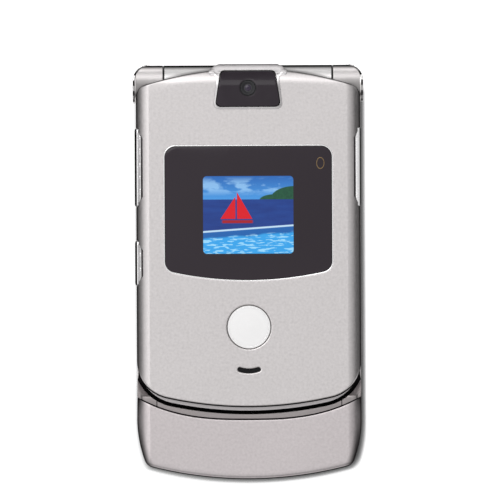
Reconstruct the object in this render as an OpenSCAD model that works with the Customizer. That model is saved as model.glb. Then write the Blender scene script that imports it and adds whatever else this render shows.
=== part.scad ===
// Clamshell phone, closed and lying on its back.
// X runs across the phone, Y runs up to the hinge, Z is thickness.
// The origin is on the back face, in the middle of the length and the width.

/* [Body] */
// Length of the closed phone, chin end to camera pod
phone_l = 98; // [97:0.5:104]
// Width across the flat sides
body_w = 52.8; // [52:0.2:56]
// Thickness of the base, back face to key faces
base_t = 7.2; // [7.1:0.1:8]
// Thickness of the flip, inner face to outer face
flip_t = 6; // [5.9:0.1:6.6]
// Gap between the key faces and the closed flip
lid_gap = 0.3; // [0.2:0.05:0.5]
// Radius of the edges round the back face
back_edge_r = 2.2; // [1.5:0.1:2.6]
// Width of the rolled edge beside the flat outer face
roll_w = 3.1; // [2.6:0.1:3.4]
// Radius of the rolled edge
roll_r = 3.8; // [3.5:0.1:4.2]
// Wall of the metal covers
wall = 0.9; // [0.7:0.05:1.1]

/* [Hinge] */
// Radius of the hinge barrel
hinge_r = 4.4; // [4.2:0.1:4.5]
// How far the camera pod reaches past the barrel
pod_over = 0.3; // [0.2:0.05:0.5]
// Width of a knuckle
knuckle_w = 6.3; // [6:0.1:7]
// Gap between barrel and knuckles
knuckle_gap = 0.2; // [0.15:0.05:0.4]
// How far a knuckle cap stands out of the flat side
ear_over = 0.8; // [0.6:0.05:1.2]
// Radius of the knuckle's outer corner seen from the front
ear_corner_r = 3.6; // [3:0.1:4]
// Radius of the hinge pins
pin_r = 2; // [1.6:0.1:2.4]
// Reach of a pin into its knuckle
pin_reach = 4.2; // [3:0.2:5]
// Radius of the spring cartridge in the barrel
cartridge_r = 3; // [2.6:0.1:3.2]
// Length of the spring cartridge
cartridge_l = 13; // [10:0.5:14.5]

/* [Chin] */
// Length of the chin's front face along the middle
chin_l = 14.1; // [12:0.1:15]
// Rise of the chin's upper edge at the sides
chin_sag = 5.3; // [4:0.1:6]
// Power of the curve of the chin's upper edge
chin_power = 2.8; // [2:0.1:3.4]
// Width of the ledge between flip and chin
ledge_w = 1.2; // [0.9:0.1:1.6]
// How far the ledge lies below the chin's face
ledge_drop = 0.9; // [0.5:0.1:1.5]
// Distance from the side to the fine seams across the ledge
ledge_seam = 4.7; // [4:0.1:8]
// Width and depth of the fine seams
ledge_seam_w = 0.2; // [0.15:0.01:0.3]
// Radius of the phone's end
end_r = 92.6; // [80:0.2:110]
// Radius of the taper along the chin's sides
side_r = 36; // [32:0.5:50]
// Length over which the sides taper
side_taper_l = 16; // [14:0.5:17]
// Radius of the chin's corners
corner_r = 2.6; // [2:0.1:3.5]
// Radius of the rolled edge at the chin's end
chin_roll_r = 1.3; // [1.2:0.1:3.4]

/* [Flip face] */
// Gap between the flip's free end and the ledge
tip_gap = 0.9; // [0.6:0.1:1.3]
// Width of the lip below the face at the free end
lip_w = 1.2; // [0.8:0.1:1.6]
// Radius of the face's free end
tip_r = 88; // [80:1:110]
// Radius of the face's corners at the free end
tip_corner_r = 9; // [8:0.2:10]
// How far the face's arch reaches past the hinge axis
arch_over = 3.3; // [3:0.1:3.5]
// Radius of the arch at the hinge end
arch_r = 80; // [74:1:100]
// Radius of the face's corners at the hinge end
arch_corner_r = 3.5; // [3:0.1:4]
// Height of the face cover's side wall seam above the inner face
seam_h = 2.4; // [2.2:0.1:2.6]
// Thickness of the inner bezel
bezel_t = 0.9; // [0.8:0.05:1]

/* [Camera pod] */
// How far the pod stands above the face
pod_rise = 0.4; // [0.3:0.05:0.5]
// Radius of the pod's rolled end
pod_r = 5.75; // [5.7:0.05:5.9]
// Width of the pod's head at the hinge end
pod_head_w = 13.8; // [12:0.2:15]
// Width of the pod's shoulders where it meets the face
pod_shoulder_w = 18.4; // [17:0.2:18.6]
// Width of the pod window at its hinge end
pod_win_w1 = 13; // [12:0.2:13.4]
// Width of the pod window at its lower end
pod_win_w2 = 15; // [14:0.2:16]
// Length of the pod window
pod_win_l = 8.4; // [7.6:0.1:9]
// Distance from the hinge axis to the window's hinge end
pod_win_over = 3; // [2.6:0.1:3.2]
// Width of the pod's rim round the window
pod_rim = 0.6; // [0.4:0.05:0.8]
// Depth of the window below the rim
pod_win_drop = 0.15; // [0.1:0.05:0.3]
// Thickness of the pod window
pod_win_t = 0.7; // [0.5:0.05:0.9]
// Radius of the lens barrel
lens_r = 1.85; // [1.5:0.05:2.2]
// Distance of the lens below the hinge axis
lens_down = 1; // [0.6:0.1:1.4]
// Side of the camera module
camera_w = 7.2; // [6.4:0.1:7.6]

/* [Outer window] */
// Width of the face beside the outer window
win_side = 6.75; // [5.4:0.05:8]
// Distance from the hinge axis to the window's top edge
win_down = 14.8; // [14:0.1:16]
// Distance from the face's free end to the lower end of the window's sides
win_up = 33.1; // [32:0.1:35]
// Bow of the window's lower edge
win_bow = 3.45; // [2.5:0.05:4]
// Radius of the window's corners
win_corner_r = 2.5; // [2:0.1:3]
// Thickness of the window
win_t = 0.8; // [0.6:0.05:0.85]
// Width of the window beside the small display
small_lcd_side = 7.45; // [6:0.05:8.6]
// Distance from the window's top edge to the small display
small_lcd_down = 5.4; // [4:0.1:6.4]
// Distance from the lower end of the window's sides to the small display
small_lcd_up = 1; // [0.5:0.1:2]
// Clearance round the windows and inlays
inlay_gap = 0.08; // [0.05:0.01:0.15]

/* [Badge and slot] */
// Radius of the plain round badge
badge_r = 5.15; // [4.5:0.05:6]
// Thickness of the badge
badge_t = 0.6; // [0.4:0.05:0.8]
// Distance from the face's free end to the badge's middle
badge_up = 18.5; // [17.6:0.1:20]
// Length of the earpiece slot in the face
slot_l = 5.6; // [4:0.1:8]
// Width of the earpiece slot
slot_w = 1; // [0.9:0.1:1.6]
// How far the slot's middle sags towards the free end
slot_sag = 0.42; // [0.2:0.02:0.8]
// Distance from the face's free end to the slot's ends
slot_up = 8.5; // [7.8:0.1:9.4]

/* [Side keys] */
// How far the side keys stand out of the flip's side
key_proud = 0.6; // [0.4:0.05:0.8]
// Length of the long side keys
long_key_l = 18.4; // [16:0.2:20]
// Distance from the hinge axis to the long keys' upper end
long_key_down = 10.5; // [10:0.1:12]
// Length of the small side key
small_key_l = 10.5; // [9:0.1:12]
// Gap between the two keys on the left side
key_apart = 8.1; // [7:0.1:10]
// Lower edge of the side keys above the flip's inner face
side_key_z = 1.5; // [1.5:0.05:1.8]
// Height of the side keys
side_key_h = 3.2; // [2.8:0.1:3.3]
// Slant of the side keys' ends
side_key_slant = 1; // [0.5:0.1:1.4]
// Thickness of the side keys at the flip's side plane
side_key_t = 1.2; // [1.1:0.05:1.4]
// Clearance round the side keys
side_key_gap = 0.12; // [0.08:0.01:0.18]
// Travel of the side keys
side_key_travel = 0.4; // [0.3:0.05:0.5]

/* [Keypad] */
// Width of the housing beside the key field
pad_side = 5.2; // [4.4:0.1:6.4]
// Distance from the hinge axis to the top of the key field
pad_down = 13.35; // [13:0.05:15]
// Radius of the bow of the key rows
row_r = 82; // [70:1:120]
// Height of the send row
send_h = 6; // [5.4:0.1:6.2]
// Gap between keys
key_gap = 0.75; // [0.65:0.05:0.9]
// Clearance round each key
key_clear = 0.1; // [0.08:0.01:0.15]
// Thickness of a key
key_t = 0.65; // [0.5:0.05:0.7]
// Travel of a key
key_travel = 0.25; // [0.2:0.05:0.3]
// Outer radius of the navigation ring
nav_r = 8.4; // [8:0.1:8.8]
// Radius of the select key
select_r = 3.7; // [3:0.1:4.2]
// Width of the menu key
menu_w = 7.6; // [6:0.1:9]
// Height of the menu key
menu_h = 4.8; // [4:0.1:5.2]
// Distance from the ledge to the lowest key row
pad_up = 3; // [2.6:0.1:3.4]
// Rim of the mat round the key field
pad_rim = 0.7; // [0.5:0.05:0.9]
// Length of the microphone slot
mic_l = 1.8; // [1.2:0.1:3]
// Width of the microphone slot
mic_w = 0.7; // [0.5:0.05:0.8]
// Distance from the ledge to the microphone slot
mic_up = 1.1; // [0.9:0.05:1.2]
// Height of the mat's ribs below the key faces
rib_drop = 0.15; // [0.1:0.05:0.3]
// Thickness of the mat under the keys
mat_t = 0.3; // [0.2:0.05:0.4]
// Thickness of the dome sheet
dome_t = 0.2; // [0.15:0.01:0.22]
// Thickness of the main board
board_t = 0.6; // [0.5:0.05:0.65]

/* [Inner screen] */
// Width of the bezel beside the inner window
bezel_side = 6.9; // [6.1:0.1:8]
// Distance from the hinge axis to the inner window
screen_down = 15.5; // [15:0.1:17]
// Distance from the lip to the inner window
screen_up = 9.6; // [8.6:0.1:11]
// Radius of the inner window's corners
screen_corner_r = 2; // [1.5:0.1:3]
// Width of the inner window beside the display module
lcd_side = 0.7; // [0.4:0.05:1.5]
// Length of the inner window above and below the display module
lcd_end = 2; // [1.5:0.1:3]
// Length of the earpiece slot in the bezel
ear_slot_l = 9; // [7:0.1:11]
// Distance from the lip to the earpiece slot
ear_slot_up = 4.2; // [3.8:0.1:4.6]
// Radius of the rubber bumpers
bumper_r = 1.3; // [1:0.1:1.6]

/* [Battery side] */
// Height of the seam round the base above the back face
split_h = 5; // [4.9:0.05:5.2]
// Width of the housing beside the battery door
door_side = 4; // [3.4:0.1:5]
// Distance from the aerial cover to the battery door
door_up = 2.5; // [2:0.1:4]
// Thickness of the battery door
door_t = 0.7; // [0.5:0.05:0.8]
// Gap round the battery door
door_gap = 0.12; // [0.1:0.01:0.2]
// Distance from the hinge axis to the door
door_down = 5.9; // [5.7:0.1:6.2]
// Radius of the door's corners
door_corner_r = 2.4; // [2:0.1:3]
// Ledge that the door lies on
door_rest = 3; // [2:0.1:3.2]
// Clearance beside the battery
battery_side = 0.4; // [0.3:0.05:1.5]
// Room in the bay beyond the battery, for the card holder
battery_down = 9.5; // [8.8:0.1:12]
// Length of the pockets between the bay and the aerial cover
pocket_l = 7.3; // [7.3:0.1:9]
// Width of the card holder
sim_w = 18; // [16:0.5:20]
// Thickness of the card holder
sim_t = 0.9; // [0.8:0.05:1]
// Diameter of the vibration motor
motor_d = 3.2; // [2.8:0.1:3.2]
// Length of the vibration motor
motor_l = 10.5; // [8:0.1:11]
// Length of the motor's weight
weight_l = 3.4; // [2:0.1:3.6]
// Thickness of the shield can
can_t = 0.2; // [0.15:0.01:0.25]
// Floor between the battery bay and the board
bay_floor_t = 0.7; // [0.6:0.05:0.9]
// Clearance round the battery
battery_gap = 0.3; // [0.2:0.05:0.4]
// Width of the door latch
latch_w = 7.6; // [6:0.1:9]
// Length of the door latch along the phone
latch_l = 1.8; // [1.5:0.1:2]
// Travel of the door latch
latch_travel = 0.5; // [0.3:0.05:0.6]
// Length of the aerial cover on the back
aerial_l = 19.5; // [19.4:0.1:20]
// Length of the loudspeaker
speaker_l = 14; // [11:0.2:15]
// Width of the loudspeaker
speaker_w = 8.4; // [7:0.1:8.8]
// Distance from the phone's end to the loudspeaker's middle
speaker_up = 7.5; // [7:0.1:8.2]
// Number of loudspeaker slots
speaker_slots = 5; // [3:1:7]
// Length of a loudspeaker slot
speaker_slot_l = 6; // [4:0.2:7]
// Width of a loudspeaker slot
speaker_slot_w = 0.8; // [0.5:0.1:1]

/* [Socket] */
// Width of the charging socket
socket_w = 7.7; // [7.4:0.1:8]
// Height of the charging socket
socket_h = 3; // [2.8:0.05:3.2]
// Depth of the charging socket
socket_l = 6.6; // [6:0.1:7]
// Thickness of the socket's shell
socket_wall = 0.3; // [0.25:0.05:0.4]
// Distance from the phone's end to the socket's middle
socket_up = 26.4; // [26:0.1:26.8]

/* [Hidden] */

$fn = 64;
eps = 0.02;
far = 200;

hw = body_w / 2;
y_end = -phone_l / 2;
y_top = phone_l / 2;
hinge_y = y_top - pod_over - hinge_r;
hinge_z = base_t + lid_gap / 2;
inner_z = base_t + lid_gap;
face_z = inner_z + flip_t;
pod_z = face_z + pod_rise;
seam_z = inner_z + seam_h;
face_r = face_z - hinge_z;
run = 0.35;
seat = 0.05;

// Lines across the chin and the flip's free end
chin_y = y_end + chin_l;
ledge_y = chin_y + ledge_w;
lip_y = ledge_y + tip_gap;
tip_y = lip_y + lip_w;

// Rolled edge: its circle meets the flat face in a soft crease
side_off = roll_r - 0.1;
crease_off = side_off - roll_w;
roll_dz = sqrt(roll_r * roll_r - crease_off * crease_off);

// Hinge stations along X
ear_in = hw - knuckle_w;
barrel_x = ear_in - knuckle_gap;
ear_out = hw + eps;
ear_x = hw + ear_over;
saddle_r = face_r - wall - 0.1;
saddle_over = 1.2;
pod_yc = y_top - pod_r;
pod_zc = pod_z - pod_r;
relief_down = 1.2;
relief_r = 5;
relief_x = pod_shoulder_w / 2 + 0.5;
base_top_y = hinge_y - 0.5;
base_mid_y = hinge_y - 1.5;
end_back_r = back_edge_r * 1.08;

// Keypad rows, counted from the lowest one
pad_w = body_w - 2 * pad_side;
pad_y0 = ledge_y + pad_up;
pad_y1 = hinge_y - pad_down;
row_pitch = (pad_y1 - pad_y0 - send_h - menu_h - 2 * nav_r - 3 * key_gap) / 4;
digit_h = row_pitch - key_gap;
send_y0 = pad_y0 + 4 * row_pitch;
cluster_y0 = send_y0 + send_h + key_gap;
nav_y = cluster_y0 + key_gap + nav_r;
nav_moat = nav_r + key_gap;
menu_y0 = nav_y + nav_r;
cluster_split = nav_y + 3.6;
digit_w = (pad_w - 2 * key_gap) / 3;
key_z0 = base_t - key_t;
mat_top = key_z0 - key_travel - seat;
mat_z0 = mat_top - mat_t;
dome_z0 = mat_z0 - dome_t;
board_z0 = dome_z0 - board_t;
plate_t = 1;

// Battery bay
rib_t = 1.2;
aerial_y = y_end + aerial_l;
door_y1 = hinge_y - door_down;
door_y0 = aerial_y + door_up;
door_w = body_w - 2 * door_side;
door_l = door_y1 - door_y0;
pocket_y0 = aerial_y + rib_t;
pocket_y1 = pocket_y0 + pocket_l;
pocket_x = 0.8;
bay_y0 = pocket_y1 + rib_t;
bay_y1 = door_y1 - rib_t;
bay_x = door_w / 2 - door_rest;
bay_z = split_h - bay_floor_t;
battery_y1 = bay_y1 - battery_down;
battery_y0 = bay_y0 + 1.5;
battery_l = battery_y1 - battery_y0;
battery_w = 2 * (bay_x - battery_side);
can_x0 = pocket_x + 1;
can_x1 = bay_x - 0.4;
motor_x = bay_x - 2.2;
latch_y = door_y1 + 1 + latch_l / 2;
socket_y = y_end + socket_up;
socket_z = 2.9;

// Outer window, badge, slot and side keys
win_w = body_w - 2 * win_side;
win_y1 = hinge_y - win_down;
win_side_h = win_y1 - tip_y - win_up;
small_lcd_w = win_w - 2 * small_lcd_side;
small_lcd_h = win_side_h - small_lcd_down - small_lcd_up;
small_lcd_y = win_y1 - small_lcd_down - small_lcd_h / 2;
badge_y = tip_y + badge_up;
slot_y = tip_y + slot_up;
long_key_y1 = hinge_y - long_key_down;
small_key_y1 = long_key_y1 - long_key_l - key_apart;
side_key_z0 = inner_z + side_key_z;
lens_y = hinge_y - lens_down;

// Inner screen
screen_w = body_w - 2 * bezel_side;
screen_y1 = hinge_y - screen_down;
screen_h = screen_y1 - lip_y - screen_up;
screen_y = screen_y1 - screen_h / 2;
lcd_w = screen_w - 2 * lcd_side;
lcd_h = screen_h - 2 * lcd_end;
ear_slot_y = lip_y + ear_slot_up;
bezel_z1 = inner_z + bezel_t;
lcd_z0 = bezel_z1 + seat;
lcd_t = 1.7;
flip_board_t = 0.6;
flip_board_z0 = lcd_z0 + lcd_t + seat;
small_lcd_z0 = flip_board_z0 + flip_board_t + seat;
small_lcd_z1 = face_z - wall - seat;

// ---------- outlines ----------

function arc(c, r, a0, a1, n) =
    [for (i = [0:n]) let (a = a0 + (a1 - a0) * i / n) c + r * [cos(a), sin(a)]];

// Adds the mirror image of a half outline that runs down the right side
function both(p) = concat(p, [for (i = [len(p) - 1:-1:0]) if (p[i].x > eps) [-p[i].x, p[i].y]]);

// Crossing of two circles, on the right of the line from a to b
function meet(a, ra, b, rb) = let (d = norm(b - a), k = (ra * ra - rb * rb + d * d) / (2 * d),
    h = sqrt(ra * ra - k * k), u = (b - a) / d) [a.x + k * u.x + h * u.y, a.y + k * u.y - h * u.x];

function bearing(a, b) = atan2(b.y - a.y, b.x - a.x);

// Plan of the base: square hinge end, tapering sides, bowed end
function base_plan(i) = let (a = [hw - side_r, y_end + side_taper_l], b = [0, y_end + end_r],
    f = meet(a, side_r - corner_r, b, end_r - corner_r), top_r = back_edge_r)
    both(concat([[0, base_top_y - i]],
        arc([hw - top_r, base_top_y - top_r], max(top_r - i, eps), 90, 0, 5),
        arc(a, side_r - i, 0, bearing(a, f), 8),
        arc(f, corner_r - i, bearing(a, f), bearing(b, f), 6),
        arc(b, end_r - i, bearing(b, f), -90, 12)));

// Plan of the flip: arched hinge end, straight sides, bowed free end at y
function flip_plan(i, y, corner) = let (a = [0, hinge_y + arch_over - arch_r],
    fx = hw - arch_corner_r, f = [fx, a.y + sqrt(pow(arch_r - arch_corner_r, 2) - fx * fx)],
    b = [0, y + tip_r], gx = hw - corner,
    g = [gx, b.y - sqrt(pow(tip_r - corner, 2) - gx * gx)])
    both(concat(arc(a, arch_r - i, 90, bearing(a, f), 12),
        arc(f, arch_corner_r - i, bearing(a, f), 0, 6),
        arc(g, corner - i, 0, bearing(b, g), 10),
        arc(b, tip_r - i, bearing(b, g), -90, 8)));

// Panel with straight sides, two top corners and a bowed lower edge
function panel(w, y1, side_h, bow, r, i) = let (x = w / 2, k = (x * x + bow * bow) / (2 * bow),
    b = [0, y1 - side_h - bow + k], gx = x - r, g = [gx, b.y - sqrt(pow(k - r, 2) - gx * gx)])
    both(concat([[0, y1 - i]], arc([x - r, y1 - r], r - i, 90, 0, 6),
        arc(g, r - i, 0, bearing(b, g), 6), arc(b, k - i, bearing(b, g), -90, 8)));

// Rectangle with round corners
function plate(w, l, y, r, i) = let (x = w / 2 - r, h = l / 2 - r)
    both(concat([[0, y + l / 2 - i]], arc([x, y + h], r - i, 90, 0, 5),
        arc([x, y - h], r - i, 0, -90, 5), [[0, y - l / 2 + i]]));

// Height of the chin's upper edge across the phone
function chin_line(x) = chin_y + chin_sag * pow(abs(x) / hw, chin_power);

// Everything above the chin's upper edge, moved along Y by d
function above_chin(d) = concat([for (k = [-14:14]) let (x = k * hw * 1.1 / 14)
    [x, chin_line(x) + d]], [[far, far], [-far, far]]);

// Rolled edge of a cover whose face is at height z
function roll(z, i) = let (c = [hw - side_off, z - roll_dz])
    arc(c, roll_r - i, acos((side_off - i) / (roll_r - i)), asin((roll_dz - i) / (roll_r - i)), 9);

// Cross-sections: base with rounded back edges, and flip above its inner face
function base_section(i) = both(concat([[0, face_z - i]],
    [for (p = [9:-1:0]) roll(face_z, i)[p]],
    arc([hw - back_edge_r, back_edge_r], back_edge_r - i, 0, -90, 6), [[0, i]]));
function flip_section(i, z0) = both(concat([[0, face_z - i]],
    [for (p = [9:-1:0]) roll(face_z, i)[p]], [[hw - i, z0], [0, z0]]));

// Bow of a key row
function bow(x) = x * x / (2 * row_r);
function cell(c, g) = concat(
    [for (k = [0:6]) let (x = c[0] - g + (c[1] - c[0] + 2 * g) * k / 6) [x, c[2] - g + bow(x)]],
    [for (k = [6:-1:0]) let (x = c[0] - g + (c[1] - c[0] + 2 * g) * k / 6) [x, c[3] + g + bow(x)]]);

// Key cells: left, right, lower and upper edge
function column(c) = [-pad_w / 2 + c * (digit_w + key_gap), -pad_w / 2 + c * (digit_w + key_gap) + digit_w];
function digit_cell(c, r) = concat(column(c), [pad_y0 + (3 - r) * row_pitch,
    pad_y0 + (3 - r) * row_pitch + digit_h]);
function send_cell(c) = concat(column(c), [send_y0, send_y0 + send_h]);
function side_cell(s, upper) = let (in_x = upper ? menu_w / 2 + key_gap : 4.2,
    y0 = upper ? cluster_split + key_gap : cluster_y0, y1 = upper ? pad_y1 : cluster_split)
    s < 0 ? [-pad_w / 2, -in_x, y0, y1] : [in_x, pad_w / 2, y0, y1];
menu_cell = [-menu_w / 2, menu_w / 2, menu_y0, pad_y1];

// ---------- shared solids ----------

module prism(points, z0, z1) {
    translate([0, 0, z0]) linear_extrude(z1 - z0) polygon(points);
}

module along_y(points, y0, y1) {
    translate([0, y1, 0]) rotate([90, 0, 0]) linear_extrude(y1 - y0) polygon(points);
}

module box(lo, hi) {
    translate(lo) cube(hi - lo);
}

module rod_x(r, x0, x1, y, z) {
    translate([x0, y, z]) rotate([0, 90, 0]) cylinder(r = r, h = x1 - x0);
}

module on_both_sides() {
    children();
    mirror([1, 0, 0]) children();
}

// Removes the outside of a rolled edge that follows the phone's bowed end
module end_roll_cut(r, z, up, i) {
    c = [end_r - r - eps, z - up * r];
    translate([0, y_end + end_r, 0]) rotate_extrude($fn = 180)
        polygon(concat(arc(c, r - i, 0, up * 90, 6),
            [[c.x, c.y + up * (r + 2)], [end_r + 4, c.y + up * (r + 2)], [end_r + 4, c.y]]));
}

// Outer form of base and chin, i inside its surface, between two heights
module base_form(i, z0, z1) {
    difference() {
        intersection() {
            prism(base_plan(i), z0, z1);
            along_y(base_section(i), y_end - 1, y_top);
        }
        if (z1 > base_t) end_roll_cut(chin_roll_r, face_z, 1, i);
        if (z0 < back_edge_r) {
            end_roll_cut(end_back_r, 0, -1, i);
            hinge_edge_cut();
        }
    }
}

// Rounds the back edge of the base at its hinge end
module hinge_edge_cut() {
    c = [base_top_y - back_edge_r, back_edge_r];
    translate([-hw - 1, 0, 0]) rotate([90, 0, 90]) linear_extrude(body_w + 2)
        polygon(concat(arc(c, back_edge_r, -90, 0, 6), [[base_top_y + 2, c.y], [base_top_y + 2, -2], [c.x, -2]]));
}

// Outer form of the flip, i inside its surface, from height z0 up
module flip_form(i, z0, y, corner) {
    r = face_r - i;
    difference() {
        intersection() {
            prism(flip_plan(i, y, corner), z0, face_z);
            along_y(flip_section(i, z0), y_end, y_top);
        }
        translate([-hw - 1, hinge_y, hinge_z]) rotate([90, 0, 90]) linear_extrude(body_w + 2)
            polygon(concat(arc([0, 0], r, 90, 0, 12), [[r + 4, 0], [r + 4, r + 4], [0, r + 4]]));
    }
}

// Room that the flip keeps free round barrel and knuckles
module hinge_room() {
    rod_x(saddle_r + seat, -barrel_x - seat, barrel_x + seat, hinge_y, hinge_z);
    on_both_sides() rod_x(hinge_r + run, barrel_x, hw + 1, hinge_y, hinge_z);
}

// Room that the base keeps free round the barrel and the camera pod
module barrel_room() {
    x = barrel_x + knuckle_gap / 2;
    rod_x(hinge_r + run, -x, x, hinge_y, hinge_z);
    rod_x(relief_r, -relief_x, relief_x, hinge_y, hinge_z - relief_down);
    box([-x, base_mid_y, -1], [x, y_top, base_t + 1]);
}

module pin_bore() {
    rod_x(pin_r + seat, ear_in - 1, ear_in + pin_reach + 0.3, hinge_y, hinge_z);
}

// Corner knuckle between two stations along X
module ear(x0, x1) {
    c = [ear_x - ear_corner_r, hinge_y + hinge_r - ear_corner_r];
    intersection() {
        rod_x(hinge_r, x0, x1, hinge_y, hinge_z);
        prism(concat([[0, c.y + ear_corner_r + 1], [c.x, c.y + ear_corner_r + 1]],
            arc(c, ear_corner_r, 90, 0, 6), [[ear_x, hinge_y - 2 * hinge_r], [0, hinge_y - 2 * hinge_r]]),
            0, face_z);
    }
}

// Plan of the pod: straight flanks, shoulders on the face's arch, head at the hinge end
function pod_plan(g) = let (w = pod_win_w2 / 2 + pod_rim, n = pod_win_w1 / 2 + pod_rim + 0.2,
    y0 = hinge_y + pod_win_over - pod_win_l - pod_rim, s = pod_shoulder_w / 2, h = pod_head_w / 2)
    both([[0, y_top + g], [h + g, y_top + g], [h + 1.1 + g, y_top - 0.5 + g],
        [s + g, hinge_y + hinge_r - 1.2], [s + g, hinge_y + arch_over - 1.3 - g],
        [n + g, hinge_y + arch_over - 1.3 - g], [w + g, y0 + 1.2], [w - 0.35 + g, y0 + 0.35 - g],
        [w - 1.2, y0 - g], [0, y0 - g]]);

// Plan of the pod window, a trapezium with cut corners
function pod_window_plan(i) = let (a = pod_win_w1 / 2 - i, b = pod_win_w2 / 2 - i,
    y1 = hinge_y + pod_win_over - i, y0 = hinge_y + pod_win_over - pod_win_l + i)
    both([[0, y1], [a - 1, y1], [a - 0.3, y1 - 0.3], [a, y1 - 1], [b, y0 + 1], [b - 0.3, y0 + 0.3],
        [b - 1, y0], [0, y0]]);

// Solid under the pod's surface, i inside it
module pod_solid(i) {
    rod_x(pod_r - i, -relief_x, relief_x, pod_yc, pod_zc);
    box([-relief_x, hinge_y - 8, hinge_z], [relief_x, pod_yc, pod_z - i]);
}

// Side key or its slot on the right side, from y1 down, grown by g
module side_key_form(y1, l, g, deeper) {
    x0 = hw - side_key_t - g - deeper;
    x1 = hw + key_proud + 1;
    s = side_key_slant;
    y0 = y1 - l;
    intersection() {
        translate([hw - side_off, y1 + 1, face_z - roll_dz]) rotate([90, 0, 0])
            cylinder(r = roll_r + key_proud + g, h = l + 2);
        prism([[x0, y0 - g], [hw - 0.4, y0 - g], [x1, y0 + s * 1.5 - g], [x1, y1 - s * 1.5 + g],
            [hw - 0.4, y1 + g], [x0, y1 + g]], side_key_z0 - g, side_key_z0 + side_key_h + g);
    }
}

module side_key_slots() {
    side_key_form(long_key_y1, long_key_l, side_key_gap, side_key_travel);
    mirror([1, 0, 0]) side_key_form(long_key_y1, long_key_l, side_key_gap, side_key_travel);
    mirror([1, 0, 0]) side_key_form(small_key_y1, small_key_l, side_key_gap, side_key_travel);
}

module pill(l, w, y, z0, z1) {
    on_both_sides() translate([l / 2 - w / 2, y, z0]) cylinder(d = w, h = z1 - z0);
    box([-l / 2 + w / 2, y - w / 2, z0], [l / 2 - w / 2, y + w / 2, z1]);
}

// The earpiece slot in the face, grown by g: a bow with round ends
module smile(g, z0, z1) {
    half = (slot_l - slot_w) / 2;
    bow_r = (half * half + slot_sag * slot_sag) / (2 * slot_sag);
    lean = asin(half / bow_r);
    w = slot_w + 2 * g;
    on_both_sides() translate([half, slot_y, z0]) cylinder(d = w, h = z1 - z0);
    translate([0, slot_y - slot_sag + bow_r, z0]) rotate([0, 0, -90 - lean])
        rotate_extrude(angle = 2 * lean) translate([bow_r - w / 2, 0]) square([w, z1 - z0]);
}

// ---------- base ----------

module front_housing() {
    ledge_z = face_z - ledge_drop;
    wing_y = chin_line(hw) + 4.2;
    color([0.72, 0.72, 0.73]) {
        difference() {
            union() {
                // Key plate with its side walls
                difference() {
                    base_form(0, split_h, base_t);
                    prism(both([[0, chin_line(0) - 0.1], [hw + 1, chin_line(0) - 0.1],
                        [hw + 1, y_end - 1], [0, y_end - 1]]), 0, far);
                    difference() {
                        base_form(wall + 0.3, split_h - 1, base_t - plate_t);
                        box([-hw, base_mid_y - 4.6, 0], [hw, y_top, base_t]);
                    }
                }
                // Ledge that follows the flip's free end
                difference() {
                    base_form(0, base_t - plate_t, ledge_z);
                    prism(flip_plan(-tip_gap, lip_y, tip_corner_r + lip_w), 0, far);
                    prism(both([[0, chin_line(0)], [0, y_end - 1], [hw + 1, y_end - 1],
                        [hw + 1, chin_line(0)]]), 0, far);
                    along_wing_cut(wing_y, ledge_z);
                }
            }
            // The chin cover closes against the curved edge
            difference() {
                box([-hw - 1, y_end - 1, split_h - 1], [hw + 1, wing_y, far]);
                prism(above_chin(seat), 0, far);
            }
            prism(cell([-pad_w / 2, pad_w / 2, pad_y0, pad_y1], pad_rim + key_clear), 0, far);
            pill(mic_l, mic_w, ledge_y + mic_up, base_t - plate_t - 1, base_t + 1);
            // Fine seams across the ledge
            on_both_sides() box([hw - ledge_seam, chin_y, ledge_z - ledge_seam_w],
                [hw - ledge_seam + ledge_seam_w, tip_y, far]);
            barrel_room();
            on_both_sides() pin_bore();
        }
        on_both_sides() difference() {
            ear(ear_in, hw);
            pin_bore();
            box([0, 0, 0], [hw + 1, base_top_y, base_t]);
        }
    }
}

// Slanted end of the ledge's two wings along the sides
module along_wing_cut(y, z) {
    translate([-hw - 1, 0, 0]) rotate([90, 0, 90]) linear_extrude(body_w + 2)
        polygon([[y - 4, z + 1], [y - 4, z], [y, base_t], [y + far, base_t], [y + far, z + 1]]);
}

module rear_housing() {
    color([0.60, 0.60, 0.62]) difference() {
        base_form(0, 0, split_h);
        box([-hw - 1, y_end - 1, -1], [hw + 1, aerial_y, split_h + 1]);
        // Recess for the door, and the bay behind it
        prism(plate(door_w, door_l, (door_y0 + door_y1) / 2, door_corner_r, -door_gap), -1, door_t + seat);
        box([-bay_x, bay_y0, 0], [bay_x, bay_y1, bay_z]);
        // Latch window
        pill(latch_w + 2 * door_gap, latch_l + 2 * door_gap, latch_y, -1, wall + door_gap);
        pill(latch_w + 2 * door_gap, latch_l + 2 * door_gap, latch_y + latch_travel, -1, wall + door_gap);
        // Pockets for the shield can and the motor
        box([can_x0, pocket_y0, wall + 1], [can_x1, pocket_y1, split_h + 1]);
        box([-motor_x, pocket_y0, wall + door_t], [-pocket_x, pocket_y1, split_h + 1]);
        // Socket
        box([-hw - 1, socket_y - socket_w / 2 - seat, socket_z - socket_h / 2 - seat],
            [-hw + socket_l + 0.2, socket_y + socket_w / 2 + seat, socket_z + socket_h / 2 + seat]);
        barrel_room();
    }
}

module chin_cover() {
    color([0.80, 0.79, 0.79]) difference() {
        base_form(0, split_h, face_z);
        prism(above_chin(0), 0, far);
        difference() {
            base_form(wall, split_h - 1, face_z - wall);
            prism(above_chin(-wall), 0, far);
        }
    }
}

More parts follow.
